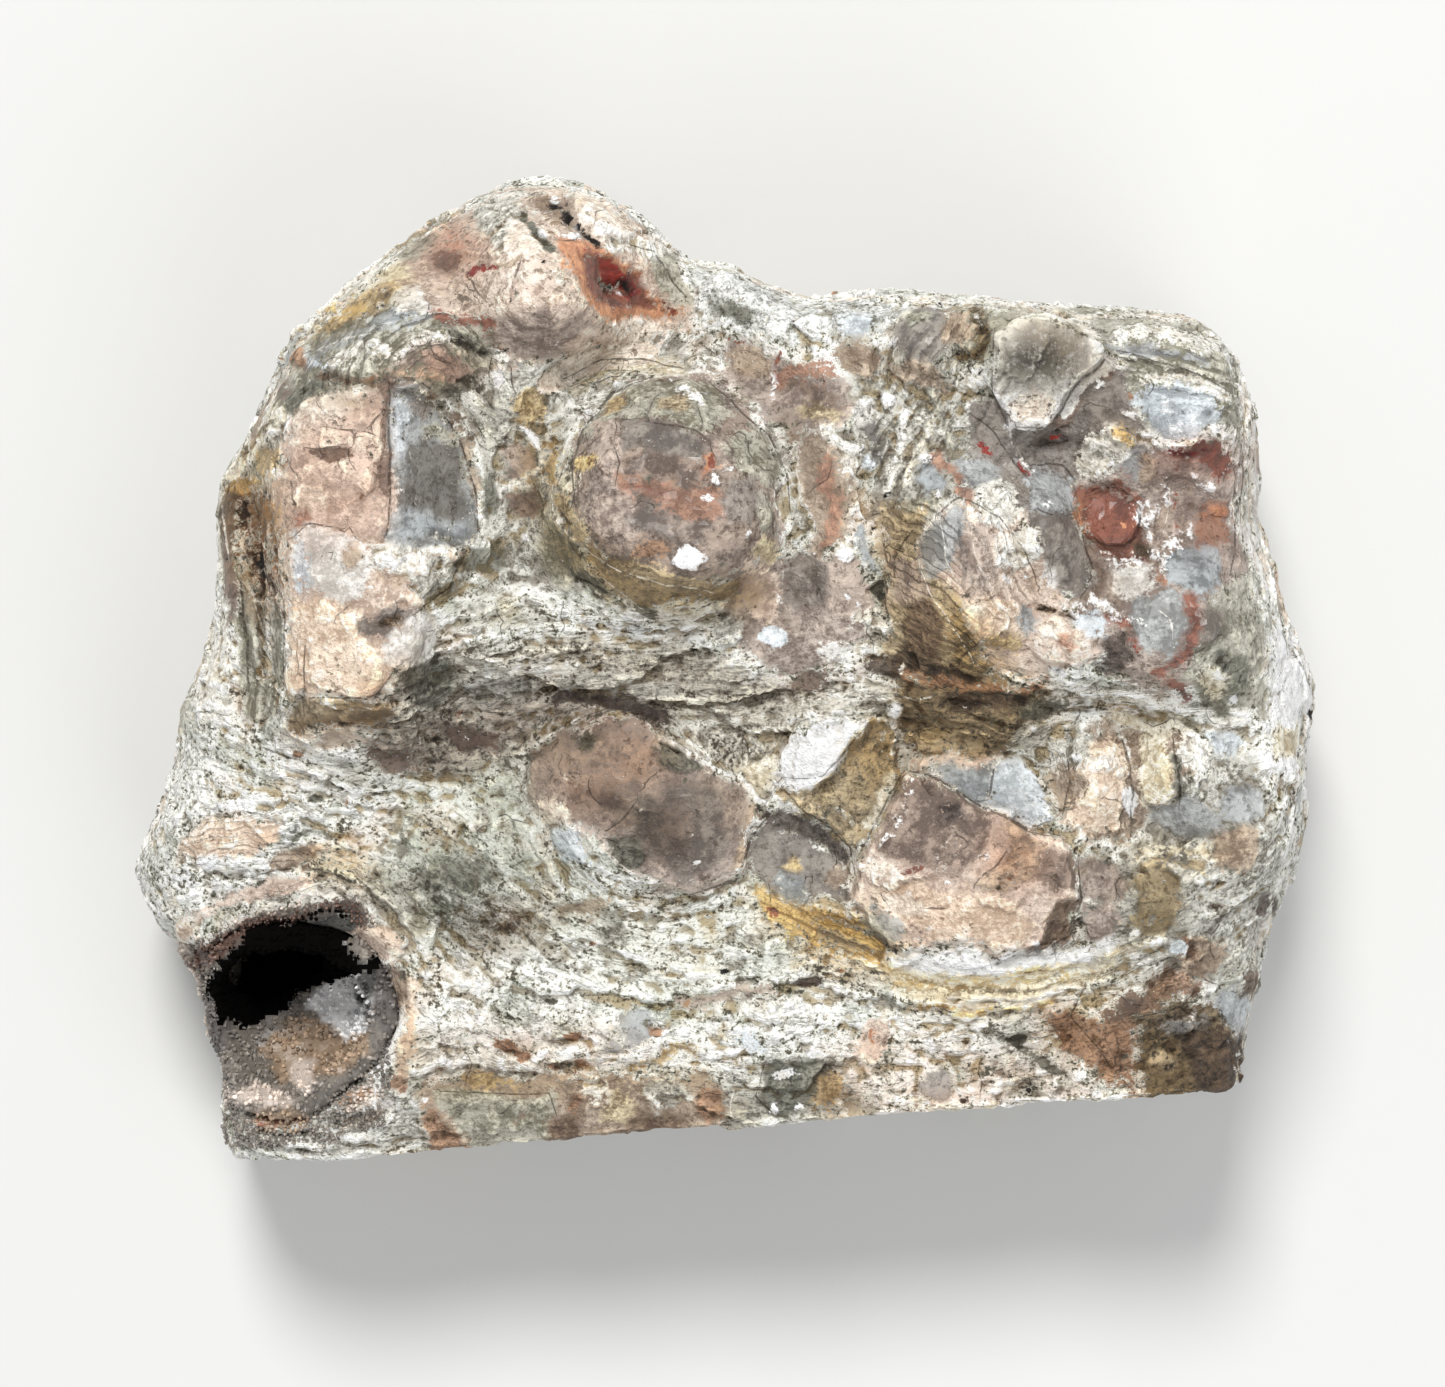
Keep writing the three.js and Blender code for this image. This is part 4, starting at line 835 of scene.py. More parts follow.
# hair lines, dark ones and pale ones: width in mm, path
cracks = [
    (0.3, -138, 388, -135, 401), (0.25, -122, 364, -136, 360, -146, 362),
    (0.28, -220, 332, -214, 322, -202, 308), (0.35, -174, 348, -179, 334, -184, 308),
    (0.2, -233, 311, -222, 316, -210, 306), (0.2, -229, 320, -223, 312, -225, 304),
    (0.2, -256, 294, -252, 312), (0.18, -183, 254, -180, 230), (0.25, -344, 202, -310, 199, -292, 194),
    (0.25, -287, 222, -300, 208, -304, 200), (0.22, -360, 186, -346, 183, -326, 185),
    (0.2, -372, 173, -365, 157), (0.2, -334, 210, -326, 209), (0.2, -320, 118, -316, 108, -310, 103),
    (0.18, -307, 276, -307, 262), (0.3, -364, -49, -370, -48), (0.3, -414, 80, -406, 30, -402, -30),
    (0.2, -357, 16, -358, -46), (0.22, -136, 244, -104, 262, -68, 262, -50, 257, -24, 252),
    (0.22, -134, 236, -102, 252, -70, 252), (0.2, -122, 236, -98, 246, -70, 247),
    (0.25, -58, 231, -64, 216, -66, 204), (0.2, -20, 220, -20, 206),
    (0.2, 21, 194, 22, 180, 34, 164, 44, 166), (0.3, 35, 142, 42, 126, 43, 106),
    (0.3, 326, 271, 350, 265, 380, 256, 404, 248, 434, 232), (0.25, 330, 260, 364, 259, 386, 256),
    (0.25, 436, 260, 442, 200, 440, 120), (0.3, 182, 126, 200, 142, 214, 138),
    (0.3, 160, 114, 146, 92, 144, 66), (0.3, 266, 170, 290, 170, 300, 156),
    (0.25, 312, 144, 319, 150, 336, 151, 350, 140, 356, 124, 353, 108, 342, 100, 322, 101, 310, 112,
        308, 130),
    (0.3, 394, 9, 406, 11, 426, 26), (0.2, -100, -144, -82, -128, -74, -116),
    (0.22, 246, -150, 232, -170, 210, -190), (0.3, 170, -208, 190, -209), (0.3, 77, -289, 85, -288),
    (0.3, 334, -316, 338, -348), (0.25, 478, 20, 494, -6, 500, -24), (0.3, 414, -230, 422, -218),
    (0.2, -450, -40, -420, -44), (0.3, -396, -70, -378, -76, -360, -82),
    (0.3, -400, -180, -376, -174, -360, -172), (0.3, -126, 130, -130, 166, -122, 198, -98, 232, -60, 247),
    (0.25, -93, 208, -74, 209, -60, 203, -26, 202, -12, 192, -6, 176),
    (0.2, -92, 204, -96, 188, -90, 170, -94, 152), (0.25, 58, 130, 54, 160, 40, 194, 15, 214, -15, 242),
    (0.3, -285, 236, -287, 190, -284, 140, -289, 104), (0.25, -246, 226, -228, 196, -214, 154, -208, 110),
    (0.3, 334, 268, 320, 252, 304, 240, 290, 218, 276, 201, 244, 203),
    (0.2, 232, 286, 228, 256, 230, 228, 240, 206),
    (0.3, 156, -91, 176, -95, 200, -109, 230, -127, 260, -143, 290, -150),
    (0.25, 110, -170, 125, -140, 140, -114, 154, -90), (0.25, 302, -166, 304, -200, 294, -230, 260, -246),
    (0.3, 40, -129, 23, -150, 10, -184, -30, -196),
    (0.2, 46, -100, 64, -122, 90, -138, 108, -156, 112, -190), (0.2, 46, -99, 83, -94, 105, -73, 126, -46),
    (0.25, 232, -84, 224, -118), (0.2, 220, -120, 260, -140, 280, -133),
    (0.25, 286, -130, 294, -100, 290, -70), (0.3, 344, -148, 348, -110, 342, -80, 334, -50),
    (0.25, 387, -124, 386, -90, 382, -64), (0.25, 134, 120, 140, 86, 138, 50, 142, 20),
    (0.2, 208, 142, 234, 126, 256, 96, 270, 60), (0.25, 306, 56, 314, 80, 306, 106, 296, 134),
    (0.25, 434, 170, 438, 120, 432, 70), (0.2, 264, 130, 286, 124, 300, 128),
    (0.2, 206, 216, 228, 200, 246, 176, 262, 154), (0.2, -370, 106, -354, 119, -332, 116, -310, 106),
    (0.2, -266, 40, -234, 64, -222, 90), (0.2, -380, 80, -374, 40, -376, 0, -370, -30),
    (0.25, -368, -29, -330, -30, -296, -26, -270, 6), (0.2, -242, -362, -200, -364, -150, -364, -140, -384),
    (0.2, 34, -338, 26, -366, 46, -384), (0.2, 310, -270, 294, -300, 320, -330, 344, -360),
    (0.2, 350, -300, 386, -292, 414, -306), (0.2, -86, 362, -60, 356, -46, 334, -32, 310),
    (0.2, -266, 272, -240, 273, -222, 258),
]
threads = [
    (0.3, -402, 64, -390, 20, -386, -30), (0.3, -428, 134, -424, 110, -422, 90),
    (0.25, -157, 176, -156, 154, -146, 152), (0.25, -150, 146, -146, 124, -130, 106),
    (0.25, -130, 242, -102, 257, -66, 257, -46, 252), (0.35, -42, 234, -32, 232, -20, 224),
    (0.3, 36, 199, 44, 182, 54, 164, 59, 152), (0.3, -104, 72, -84, 59, -70, 46),
    (0.3, -52, 43, -25, 48, 0, 54), (0.25, 44, 96, 49, 80, 50, 64), (0.3, 379, 226, 382, 206, 394, 196),
    (0.3, 242, 206, 249, 180, 262, 166), (0.25, 184, 234, 196, 218, 202, 204),
    (0.3, 296, 120, 302, 110, 308, 104), (0.3, 356, 66, 366, 54), (0.35, 152, -28, 166, -31, 180, -29),
    (0.3, 142, -46, 146, -60, 149, -70), (0.3, -96, -164, -77, -180, -55, -190),
    (0.3, 157, -96, 154, -120, 144, -142), (0.35, 140, -146, 126, -163),
    (0.25, 194, -148, 182, -156, 180, -172, 190, -172), (0.3, 336, -56, 344, -76, 347, -96),
    (0.25, 10, -352, 4, -382), (0.3, -146, 216, -130, 246, -100, 262, -60, 265, -20, 252),
    (0.2, -139, 214, -122, 240, -96, 254, -60, 258, -26, 246),
    (0.2, -132, 206, -116, 232, -90, 246, -56, 249), (0.25, 66, 120, 66, 150, 56, 180, 40, 204),
    (0.3, -358, 250, -348, 268, -322, 280, -296, 282), (0.25, -334, 252, -314, 268, -286, 268),
    (0.25, -296, 254, -278, 274, -250, 282, -224, 278), (0.2, -298, 288, -270, 296, -240, 302, -210, 296),
    (0.2, -282, 262, -266, 276, -240, 278, -218, 262),
    (0.2, 144, -258, 190, -266, 250, -266, 310, -256, 350, -240), (0.2, 150, -284, 210, -292, 270, -290),
    (0.2, -114, 94, -86, 76, -50, 66, -10, 62), (0.2, 166, 94, 174, 60, 194, 30, 216, 0),
    (0.2, 184, 126, 190, 90, 206, 56), (0.2, 210, 116, 218, 84, 234, 56),
    (0.2, 300, 244, 330, 264, 370, 262, 410, 250), (0.2, 350, 236, 384, 246, 426, 234),
    (0.25, -50, -61, -25, -83, 0, -94, 20, -109, 38, -125), (0.2, 376, 174, 380, 140, 376, 112),
    (0.2, 366, 50, 380, 36, 382, 16), (0.2, -216, 154, -209, 124), (0.2, -430, 154, -414, 162, -398, 184),
]
# short cracks strewn over the crown: width in mm, places and steps in tenths, turn in radians at each step
strayCracks = {
    "count": 110, "u": (-460, 460), "v": (-380, 380), "width": (0.08, 0.2),
    "steps": (3, 7), "step": 6, "turn": 0.7,
}
for number in range(strayCracks["count"]):
    u, v = dice.uniform(*strayCracks["u"]), dice.uniform(*strayCracks["v"])
    heading = dice.uniform(0, 2 * math.pi)
    path = [u, v]
    for step in range(dice.integers(*strayCracks["steps"])):
        heading += dice.normal(0, strayCracks["turn"])
        u, v = u + strayCracks["step"] * math.cos(heading), v + strayCracks["step"] * math.sin(heading)
        path += [u, v]
    cracks.append((dice.uniform(*strayCracks["width"]), *path))

# stains that soak into whatever they lie on: tone they filter light with, strength, shape
stains = [
    ((214, 206, 190), 0.6, blob(256, 276, 4, 3)), ((228, 192, 170), 0.7, blob(-242, 254, 2.4, 1.4)),
    ((196, 150, 124), 0.7, blob(-236, 362, 1.4, 1.2)),
    ((160, 126, 78), 0.85, area(-416, 150, -390, 144, -386, 50, -404, 44)),
    ((206, 184, 138), 0.7, streak(2.2, -136, 96, -154, 140, -160, 180)),
    ((190, 170, 130), 0.8, streak(2.4, -120, 90, -80, 64, -30, 50, 20, 60)),
    ((216, 194, 150), 0.6, area(-430, 180, -394, 190, -380, 120, -382, 60, -420, 80)),
    ((232, 218, 192), 0.6, area(134, 130, 160, 134, 190, 60, 230, -6, 260, -24, 160, -20, 134, 20)),
    ((228, 204, 150), 0.5, area(196, 54, 226, 26, 246, -10, 206, -14, 190, 16)),
    ((104, 104, 98), 0.9, blob(264, 254, 1.7, 0.8, 8)),
    ((176, 172, 160), 0.8, blob(274, 250, 2.6, 1.4, -10)), ((150, 128, 92), 0.7, blob(290, 266, 2, 1, -30)),
    ((110, 106, 100), 0.7, blob(256, 266, 0.9, 0.6, 12)),
    ((128, 108, 88), 0.9, blob(-192, -222, 3.2, 1.8, 6)),
    ((206, 172, 112), 0.8, blob(-324, -172, 2, 1.3, -20)),
    ((168, 158, 142), 0.7, blob(-270, -206, 3, 2.6, 30)),
    ((216, 190, 144), 0.6, blob(-180, -220, 2, 1.2, 10)),
    ((124, 122, 112), 0.85, blob(-226, -202, 3.4, 2.4, 10)),
    ((170, 172, 158), 0.7, blob(-242, -166, 2.6, 1.6, 0)),
    ((176, 176, 164), 0.6, blob(-170, -150, 3, 4, 30)),
    ((128, 108, 96), 0.75, area(-300, -70, -240, -44, -160, -26, -80, -34, -46, -50, -160, -54, -240, -96)),
    ((196, 186, 174), 0.5, area(-160, 6, -60, 10, 20, -6, 80, -16, 40, -44, -60, -26, -140, -16)),
    ((216, 222, 208), 0.6, area(-270, -110, -180, -90, -160, -160, -100, -200, -130, -230, -240, -240,
        -270, -210)),
    ((226, 228, 216), 0.5, area(-80, -200, 20, -206, 60, -260, -20, -300, -120, -280)),
    ((228, 206, 156), 0.65, area(26, -194, 70, -206, 120, -212, 154, -246, 140, -260, 80, -246, 40, -226)),
    ((232, 206, 152), 0.45, streak(0.6, -240, -358, -160, -354, -80, -352, -20, -352)),
    ((218, 190, 146), 0.5, area(268, -296, 330, -280, 350, -340, 346, -366, 300, -336)),
    ((150, 128, 104), 0.6, area(346, -296, 400, -288, 450, -320, 450, -380, 344, -378)),
    ((232, 204, 144), 0.6, area(124, -48, 146, -52, 150, -90, 126, -100, 104, -74)),
    ((196, 172, 132), 0.5, area(146, -10, 210, -20, 270, -24, 280, -54, 220, -82, 160, -84)),
    ((206, 190, 170), 0.7, blob(340, 200, 1.4, 0.9, -30)), ((190, 112, 80), 0.6, blob(406, 178, 2.6, 1)),
    ((232, 206, 194), 0.5, area(-380, 180, -290, 230, -286, 120, -360, 90)),
    ((222, 178, 156), 0.5, blob(-230, 348, 1.6, 1.2, 10)),
    ((220, 200, 156), 0.6, streak(2, -350, 286, -310, 306, -280, 326)),
    ((230, 218, 190), 0.4, area(336, -150, 380, -146, 430, -154, 380, -172, 340, -174)),
    ((152, 144, 126), 0.9, area(346, -180, 386, -180, 384, -230, 344, -234)),
    ((246, 230, 220), 0.8, area(90, -330, 150, -320, 220, -330, 290, -360, 200, -390, 90, -394)),
    ((250, 238, 230), 0.5, blob(190, -216, 3, 1.4)), ((214, 208, 198), 0.7, blob(-34, -136, 4.4, 3)),
    ((186, 158, 140), 0.7, blob(-46, -140, 1.2, 1.6, -20)),
    ((176, 174, 162), 0.7, blob(-74, -132, 1.6, 0.9, -40)), ((184, 180, 168), 0.7, blob(-136, -74, 1.8, 1)),
    ((226, 206, 184), 0.6, blob(-64, -80, 1.8, 1.4)), ((180, 162, 148), 0.6, blob(-114, -110, 2, 0.9, 20)),
    ((232, 222, 206), 0.6, blob(6, -108, 1.6, 0.8, -30)), ((226, 212, 198), 0.9, blob(-106, -84, 5, 3)),
    ((236, 200, 176), 0.7, blob(246, -164, 2, 2.2, 20)),
    ((150, 122, 104), 0.7, streak(0.2, -436, -250, -416, -233, -384, -220, -350, -213, -320, -212)),
    ((216, 180, 150), 0.35, area(-240, -310, -180, -306, -100, -310, -60, -330, -140, -340, -240, -330)),
    ((140, 130, 108), 0.9, blob(-210, 214, 1, 1.6)), ((150, 146, 136), 0.8, blob(428, -272, 1.2, 1.2)),
    ((132, 104, 72), 0.95, streak(1, -366, -58, -340, -54, -310, -50, -290, -46)),
    ((178, 174, 158), 0.8, blob(-196, 42, 3, 1, -12)), ((168, 146, 112), 0.8, blob(94, -376, 1.2, 0.9)),
    ((172, 160, 138), 0.8, streak(1.2, 318, -252, 350, -266, 366, -274)),
    ((180, 178, 164), 0.8, blob(-190, -100, 2, 1)),
    ((190, 162, 134), 0.8, streak(1.4, -300, -24, -274, -8)),
    ((228, 206, 190), 0.8, blob(192, -372, 1.6, 0.8)), ((176, 170, 158), 0.8, blob(-315, -96, 1.6, 0.8)),
    ((172, 160, 148), 0.8, blob(246, -334, 1.1, 0.8)), ((200, 202, 206), 0.8, blob(370, 212, 1.2, 1.2)),
    ((196, 188, 178), 0.8, blob(-323, 226, 1.4, 0.6)), ((200, 182, 156), 0.8, blob(-264, -329, 0.9, 1.2)),
    ((186, 176, 158), 0.8, blob(12, -380, 1, 1)), ((186, 164, 140), 0.8, blob(273, -319, 1, 0.8)),
    ((176, 166, 158), 0.8, blob(58, 194, 0.9, 1.2)),
    ((190, 150, 104), 0.9, streak(0.8, -400, 130, -394, 96, -388, 66)),
    ((236, 212, 170), 0.8, streak(0.8, 78, -251, 100, -258, 138, -258)),
    ((228, 206, 170), 0.7, streak(0.6, 164, -285, 200, -289, 240, -294)),
    ((216, 206, 204), 0.8, area(400, 140, 434, 138, 436, 96, 400, 96)),
]

# folds and layers: where, the way they run in degrees or the point they ring, spacing and height in mm
folds = [
    (area(-370, 220, -355, 280, -300, 310, -250, 310, -205, 288, -200, 250, -240, 244, -280, 244,
        -320, 234), (-25, 23.4), 0.95, 0.05),
    (area(-140, 226, -110, 272, -60, 278, -16, 262, -26, 242, -70, 248, -110, 228), (-5, 14), 0.75, 0.03),
    (area(134, 135, 170, 146, 206, 116, 208, 50, 246, -10, 180, -20, 140, 6, 140, 60), -36, 0.75, 0.04),
    (area(24, -188, 70, -204, 114, -206, 150, -240, 154, -262, 80, -246, 40, -224), -27, 0.8, 0.04),
    (area(136, -246, 230, -248, 340, -230, 330, -276, 240, -300, 145, -296), (23, -2), 1, 0.06),
    (area(-470, -120, -360, -120, -360, -170, -465, -190), 9, 0.6, 0.02),
    (area(-426, 60, -370, 60, -366, -54, -424, -50), 94, 0.85, 0.06),
    (area(310, 270, 440, 276, 440, 210, 380, 220, 330, 250), -12, 1, 0.06),
    (area(-460, -230, -406, -196, -346, -178, -300, -180, -300, -204, -360, -202, -420, -220), 20, 0.7,
        0.03),
    (area(120, 280, 230, 310, 250, 230, 200, 170, 120, 140), 64, 1.1, 0.06),
    (area(206, 160, 240, 134, 270, 60, 230, 20, 206, 70), 118, 0.9, 0.04),
]


# the lump: sizes in mm
lump = {
    "grid": 0.42, "faces": 190000,  # fineness of the copy that is shaped, and how many faces are kept
    "eased": 24, "filled": 0.5,  # rounds of smoothing, and how far sharp hollows are filled
    # broken surface: strength, size and seed of its noise
    "slabs": (0.36, 3, 21), "blocks": (0.36, 4.6, 23), "flakes": (0.17, 1.35, 22), "grit": (0.14, 1.1, 31),
    "fibres": (0.2, 1.5, 11), "pits": (0.14, 1.9, 41),
    "cracks": {"crack": 0.07, "thread": -0.03},  # depth
    "walls": 4.5,  # below the crown, where the painted places give way to plain rock
    "foot": 12,  # above the base, where they end at the latest
    "wander": {"zone": 1.3, "patch": 0.8, "mark": 0.3},  # how far outlines stray
    "wallFinishes": ["cream", "greenGrey", "olive", "peach", "greyMix", "mauve", "nodule", "frost",
                     "darkGreen", "paleRind", "tan", "goldOlive"],
    # the hollow's two bowls: centre, half sizes, turn in degrees
    "hollow": [((-37.2, -30, 26.4), (9.8, 8, 9.4), 20), ((-38.2, -23.8, 17.4), (8.2, 6, 9.2), 20)],
    # forms that the bands bend around: plan point and radius
    "bentAround": [
        (-14.5, 33, 12), (-31, 15, 10), (-5, 14.5, 10), (32, 10, 12), (20, -17, 9.5), (-7, -12.5, 8.5),
        (9, -11, 5.5), (34, -10, 6), (-38, -28, 9), (17.5, 27, 4), (27, 24.5, 6)],
}


def flowOf(points, u, v):  # (along the bands, across them, up) for every point, in mm
    across = v.copy()
    for cu, cv, radius in lump["bentAround"]:
        far = np.hypot(u - cu, v - cv)
        outside = (v - cv) * radius ** 2 / np.maximum(far, radius) ** 2
        across -= np.where(far > radius, outside, (v - cv) - (radius - far) * 0.75)
    return np.stack([points[:, 0], across + 0.55 * points[:, 2], points[:, 2]], 1)


def crownShareOf(points, u, v):  # mm inside the part that is seen from above; below 0 on the walls
    cell, half, wide = 1.5, 60, 200  # the plan in square columns
    columns = (np.floor(u / cell) + half).astype(int) * wide + (np.floor(v / cell) + half).astype(int)
    top = np.zeros(wide * wide)
    np.maximum.at(top, columns, points[:, 2])
    return np.minimum((lump["walls"] - (top[columns] - points[:, 2])) * 0.4, points[:, 2] - lump["foot"])


def nearTo(form, u, v, crown, reach=1.8):  # the points about a form, and how far inside its edge each lies
    near = np.flatnonzero((u > form["low"][0] - reach) & (u < form["high"][0] + reach)
                          & (v > form["low"][1] - reach) & (v < form["high"][1] + reach))
    return near, np.minimum(form["field"](u[near], v[near]), crown[near])


def wandered(points, u, v, reach):  # plan places moved about, so that no outline is even
    return [at + layers(points, 4.2, 3, seed, 0.55) * reach for at, seed in ((u, 501), (v, 502))]


def layerOf(places, u, v, crown, total):  # the last place that holds a point gives its finish
    cover = np.full(len(u), -1.8)
    pick = np.full(len(u), -1)
    for finish, rise, form, *flat in places:
        near, field = nearTo(form, u, v, crown)
        taken = (field > 0) | (field > cover[near])
        cover[near[taken]] = field[taken]
        pick[near[taken]] = list(finishes).index(finish)
        total[near] += rise * smoothStep(-0.35, 0.35, field)
    return cover, pick


def pressed(points):  # the crown with its broken faces brought towards one plane each
    u, v = planOf(points)
    crown = crownShareOf(points, u, v)
    level = points[:, 2].copy()
    for name, places in (("zone", zones), ("patch", patches)):
        pu, pv = wandered(points, u, v, lump["wander"][name])
        for finish, rise, form, *flat in places:
            if flat:
                near, field = nearTo(form, pu, pv, crown)
                core = near[field > 0.4]
                slopes = np.stack([np.ones(len(core)), u[core], v[core]], 1)
                plane = np.linalg.lstsq(slopes, points[core, 2], rcond=None)[0]
                face = plane[0] + plane[1] * u[near] + plane[2] * v[near]
                level[near] += (face - level[near]) * flat[0] * smoothStep(-0.15, 0.6, field)
    return np.stack([points[:, 0], points[:, 1], level], 1)


def foldsOf(points, u, v, crown):  # which layer of its folds each point lies in, how much, and the height
    layer, layerShare, height = np.zeros((3, len(points)))
    for form, run, spacing, rise in folds:
        near, field = nearTo(form, u, v, crown)
        if isinstance(run, tuple):
            across = np.hypot(u[near] - run[0], v[near] - run[1])
        else:
            across = v[near] * math.cos(math.radians(run)) - u[near] * math.sin(math.radians(run))
        across += layers(points[near], 5, 3, 801, 0.5) * 1.1
        share = smoothStep(-0.3, 0.9, field)
        inside = near[share > 0]
        layer[inside], layerShare[inside] = (across / spacing)[share > 0], share[share > 0]
        height[inside] = rise * share[share > 0]
    return layer, layerShare, height


def linesOf(lines, u, v, crown):  # how far to the side of the nearest line, in half widths, and in mm
    side, away = np.full(len(u), 9.0), np.full(len(u), 1.2)
    for width, *numbers in lines:
        near = nearTo(streak(width, *numbers), u, v, crown, 1.2)[0]
        path = pairs(numbers)
        count = len(path) - 1
        for number, ((au, av), (bu, bv)) in enumerate(zip(path, path[1:])):
            du, dv = bu - au, bv - av
            pu, pv = u[near] - au, v[near] - av
            along = np.clip((pu * du + pv * dv) / (du * du + dv * dv), 0, 1)
            far = np.hypot(pu - along * du, pv - along * dv)
            half = width * 0.26 * (1.2 - np.abs((number + along) / count * 2 - 1) ** 3)
            closer = (far < away[near]) & (crown[near] > 0)
            side[near[closer]] = (np.sign(du * pv - dv * pu) * far / half)[closer]
            away[near[closer]] = far[closer]
    return np.clip(side, -9, 9), away


def paint(points):  # every value that the stone's material and its relief read
    u, v = planOf(points)
    crown = crownShareOf(points, u, v)
    seen = {"rise": np.zeros(len(points)), "flow": flowOf(points, u, v)}
    table = np.array([[*linear(light), *linear(dark), *rest] for light, dark, *rest in finishes.values()])
    mix = np.tile([0.08, 1.0], (len(points), 1))  # gloss and roughness of plain rock
    for name, places in (("zone", zones), ("patch", patches), ("mark", marks)):
        cover, pick = layerOf(places, *wandered(points, u, v, lump["wander"][name]), crown, seen["rise"])
        if name == "zone":  # the walls have patches of the same finishes
            for number, finish in enumerate(lump["wallFinishes"]):
                cloud = layers(seen["flow"] * (0.45, 1, 0.8), 8, 3, 300 + number * 7)
                field = np.minimum(np.minimum((cloud - 0.47) * 5, -crown), 0.3)
                taken = field > np.maximum(cover, 0)
                cover[taken], pick[taken] = field[taken], list(finishes).index(finish)
        look = table[np.maximum(pick, 0)]
        seen[name + "Cover"], seen[name + "Light"], seen[name + "Dark"] = cover, look[:, :3], look[:, 3:6]
        share = smoothStep(-0.3, 0.3, cover)[:, None]
        mix = mix * (1 - share) + look[:, 6:] * share
    seen["gloss"], seen["rough"] = mix.T
    seen["banded"] = smoothStep(0.82, 0.98, seen["rough"])
    seen["stain"] = np.ones((len(points), 3))
    for tone, strength, form in stains:
        near, field = nearTo(form, u, v, crown, 3)
        share = strength * smoothStep(-2.4, 1, field)[:, None]
        seen["stain"][near] *= 1 - share * (1 - np.array(linear(tone)))
    seen["layer"], seen["layerShare"], height = foldsOf(points, u, v, crown)
    seen["rise"] += (np.abs(seen["layer"] % 1 - 0.5) * 4 - 1) * height
    for name, lines in (("crack", cracks), ("thread", threads)):
        side, away = linesOf(lines, *wandered(points, u, v, lump["wander"]["mark"]), crown)
        seen[name + "Side"], seen[name + "Away"] = side, away
        seen["rise"] -= lump["cracks"][name] * (1 - smoothStep(0.1, 0.4, away))
    return seen


def inHollow(points, extra):  # 1 inside the hollow grown by extra mm, easing to 0 outside
    share = np.zeros(len(points))
    for (x, y, z), (a, b, c), turn in lump["hollow"]:
        ct, st = math.cos(math.radians(turn)), math.sin(math.radians(turn))
        dx, dy, dz = points[:, 0] - x, points[:, 1] - y, points[:, 2] - z
        far = np.sqrt(((dx * ct + dy * st) / (a + extra)) ** 2 + ((dy * ct - dx * st) / (b + extra)) ** 2
                      + (dz / (c + extra)) ** 2)
        share = np.maximum(share, 1 - smoothStep(0.95, 1.12, far))
    return share


def sawnDepth(points):  # mm behind the sawn front
    return points[:, 1] - sawnFront["y"] - sawnFront["slope"] * points[:, 0]


def reliefOf(points, seen):  # how far the broken surface stands out, in mm
    flow, plain = seen["flow"], seen["banded"]

    def part(name, noise, at, *more):
        strength, size, seed = lump[name]
        return strength, noise(at, size, *more, seed)
    slabDepth, slabs = part("slabs", chips, flow * (0.4, 1, 0.6))
    blockDepth, blocks = part("blocks", chips, points)
    flakeDepth, flakes = part("flakes", chips, points)
    gritDepth, grit = part("grit", layers, points, 2)
    pitDepth, pits = part("pits", layers, points, 2)
    fibreDepth, fibreSize, fibreSeed = lump["fibres"]
    fibres = layers(flow * (0.17, 1, 0.3), fibreSize, 3, fibreSeed, 0.6)
    relief = slabDepth * slabs * plain + blockDepth * blocks * (1 - plain)
    relief += flakeDepth * flakes + gritDepth * grit + fibreDepth * fibres * plain
    relief -= pitDepth * smoothStep(0.42, 0.62, pits) * (0.35 + 0.65 * plain)
    relief = relief * seen["rough"] + seen["rise"]
    calm = smoothStep(0.1, 1.1, points[:, 2]) * (1 - 0.75 * inHollow(points, 1.2))
    return relief * calm


def pointsOf(mesh, field="vertices", name="co"):
    values = np.empty(len(mesh.vertices) * 3)
    getattr(mesh, field).foreach_get(name, values)
    return values.reshape(-1, 3)


def edgesOf(mesh):
    values = np.empty(len(mesh.edges) * 2, np.int64)
    mesh.edges.foreach_get("vertices", values)
    return values.reshape(-1, 2)


def eased(points, edges, times, amount=0.5):  # points pulled towards their neighbours
    a, b = edges.T
    ends = np.concatenate([a, b])
    count = np.bincount(ends, minlength=len(points))[:, None]
    for _ in range(times):
        others = np.concatenate([points[b], points[a]])
        mean = np.stack([np.bincount(ends, others[:, axis], len(points)) for axis in range(3)], 1) / count
        points = points + (mean - points) * amount
    return points


def applied(piece, kind, **settings):  # the piece's mesh with one modifier made real
    step = piece.modifiers.new(kind.lower(), kind)
    for key, value in settings.items():
        setattr(step, key, value)
    bpy.context.view_layer.update()
    made = bpy.data.meshes.new_from_object(piece.evaluated_get(bpy.context.evaluated_depsgraph_get()))
    piece.modifiers.clear()
    old, piece.data = piece.data, made
    made.name = piece.name
    bpy.data.meshes.remove(old)
    return made


def fineCopy(node, name, grid):
    piece = bpy.data.objects.new(name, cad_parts[node].data.copy())
    piece.data.materials.clear()
    scene.collection.objects.link(piece)
    applied(piece, "REMESH", mode="VOXEL", voxel_size=grid * mm, adaptivity=0)
    return piece


def setPoints(mesh, points):
    mesh.vertices.foreach_set("co", (points * mm).ravel())
    mesh.update()


def store(mesh, name, values):  # painted on the mesh for the material to read
    kind, slot = ("FLOAT", "value") if values.ndim == 1 else ("FLOAT_COLOR", "color")
    if values.ndim == 2:
        values = np.hstack([values, np.ones((len(values), 1))])
    mesh.attributes.new(name, kind, "POINT").data.foreach_set(slot, values.astype(np.float32).ravel())


def insideBox(points):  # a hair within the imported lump, in mm
    low, high = (np.array(corner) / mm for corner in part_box("banded_lump"))
    return np.clip(points, low + 0.001, high - 0.001)


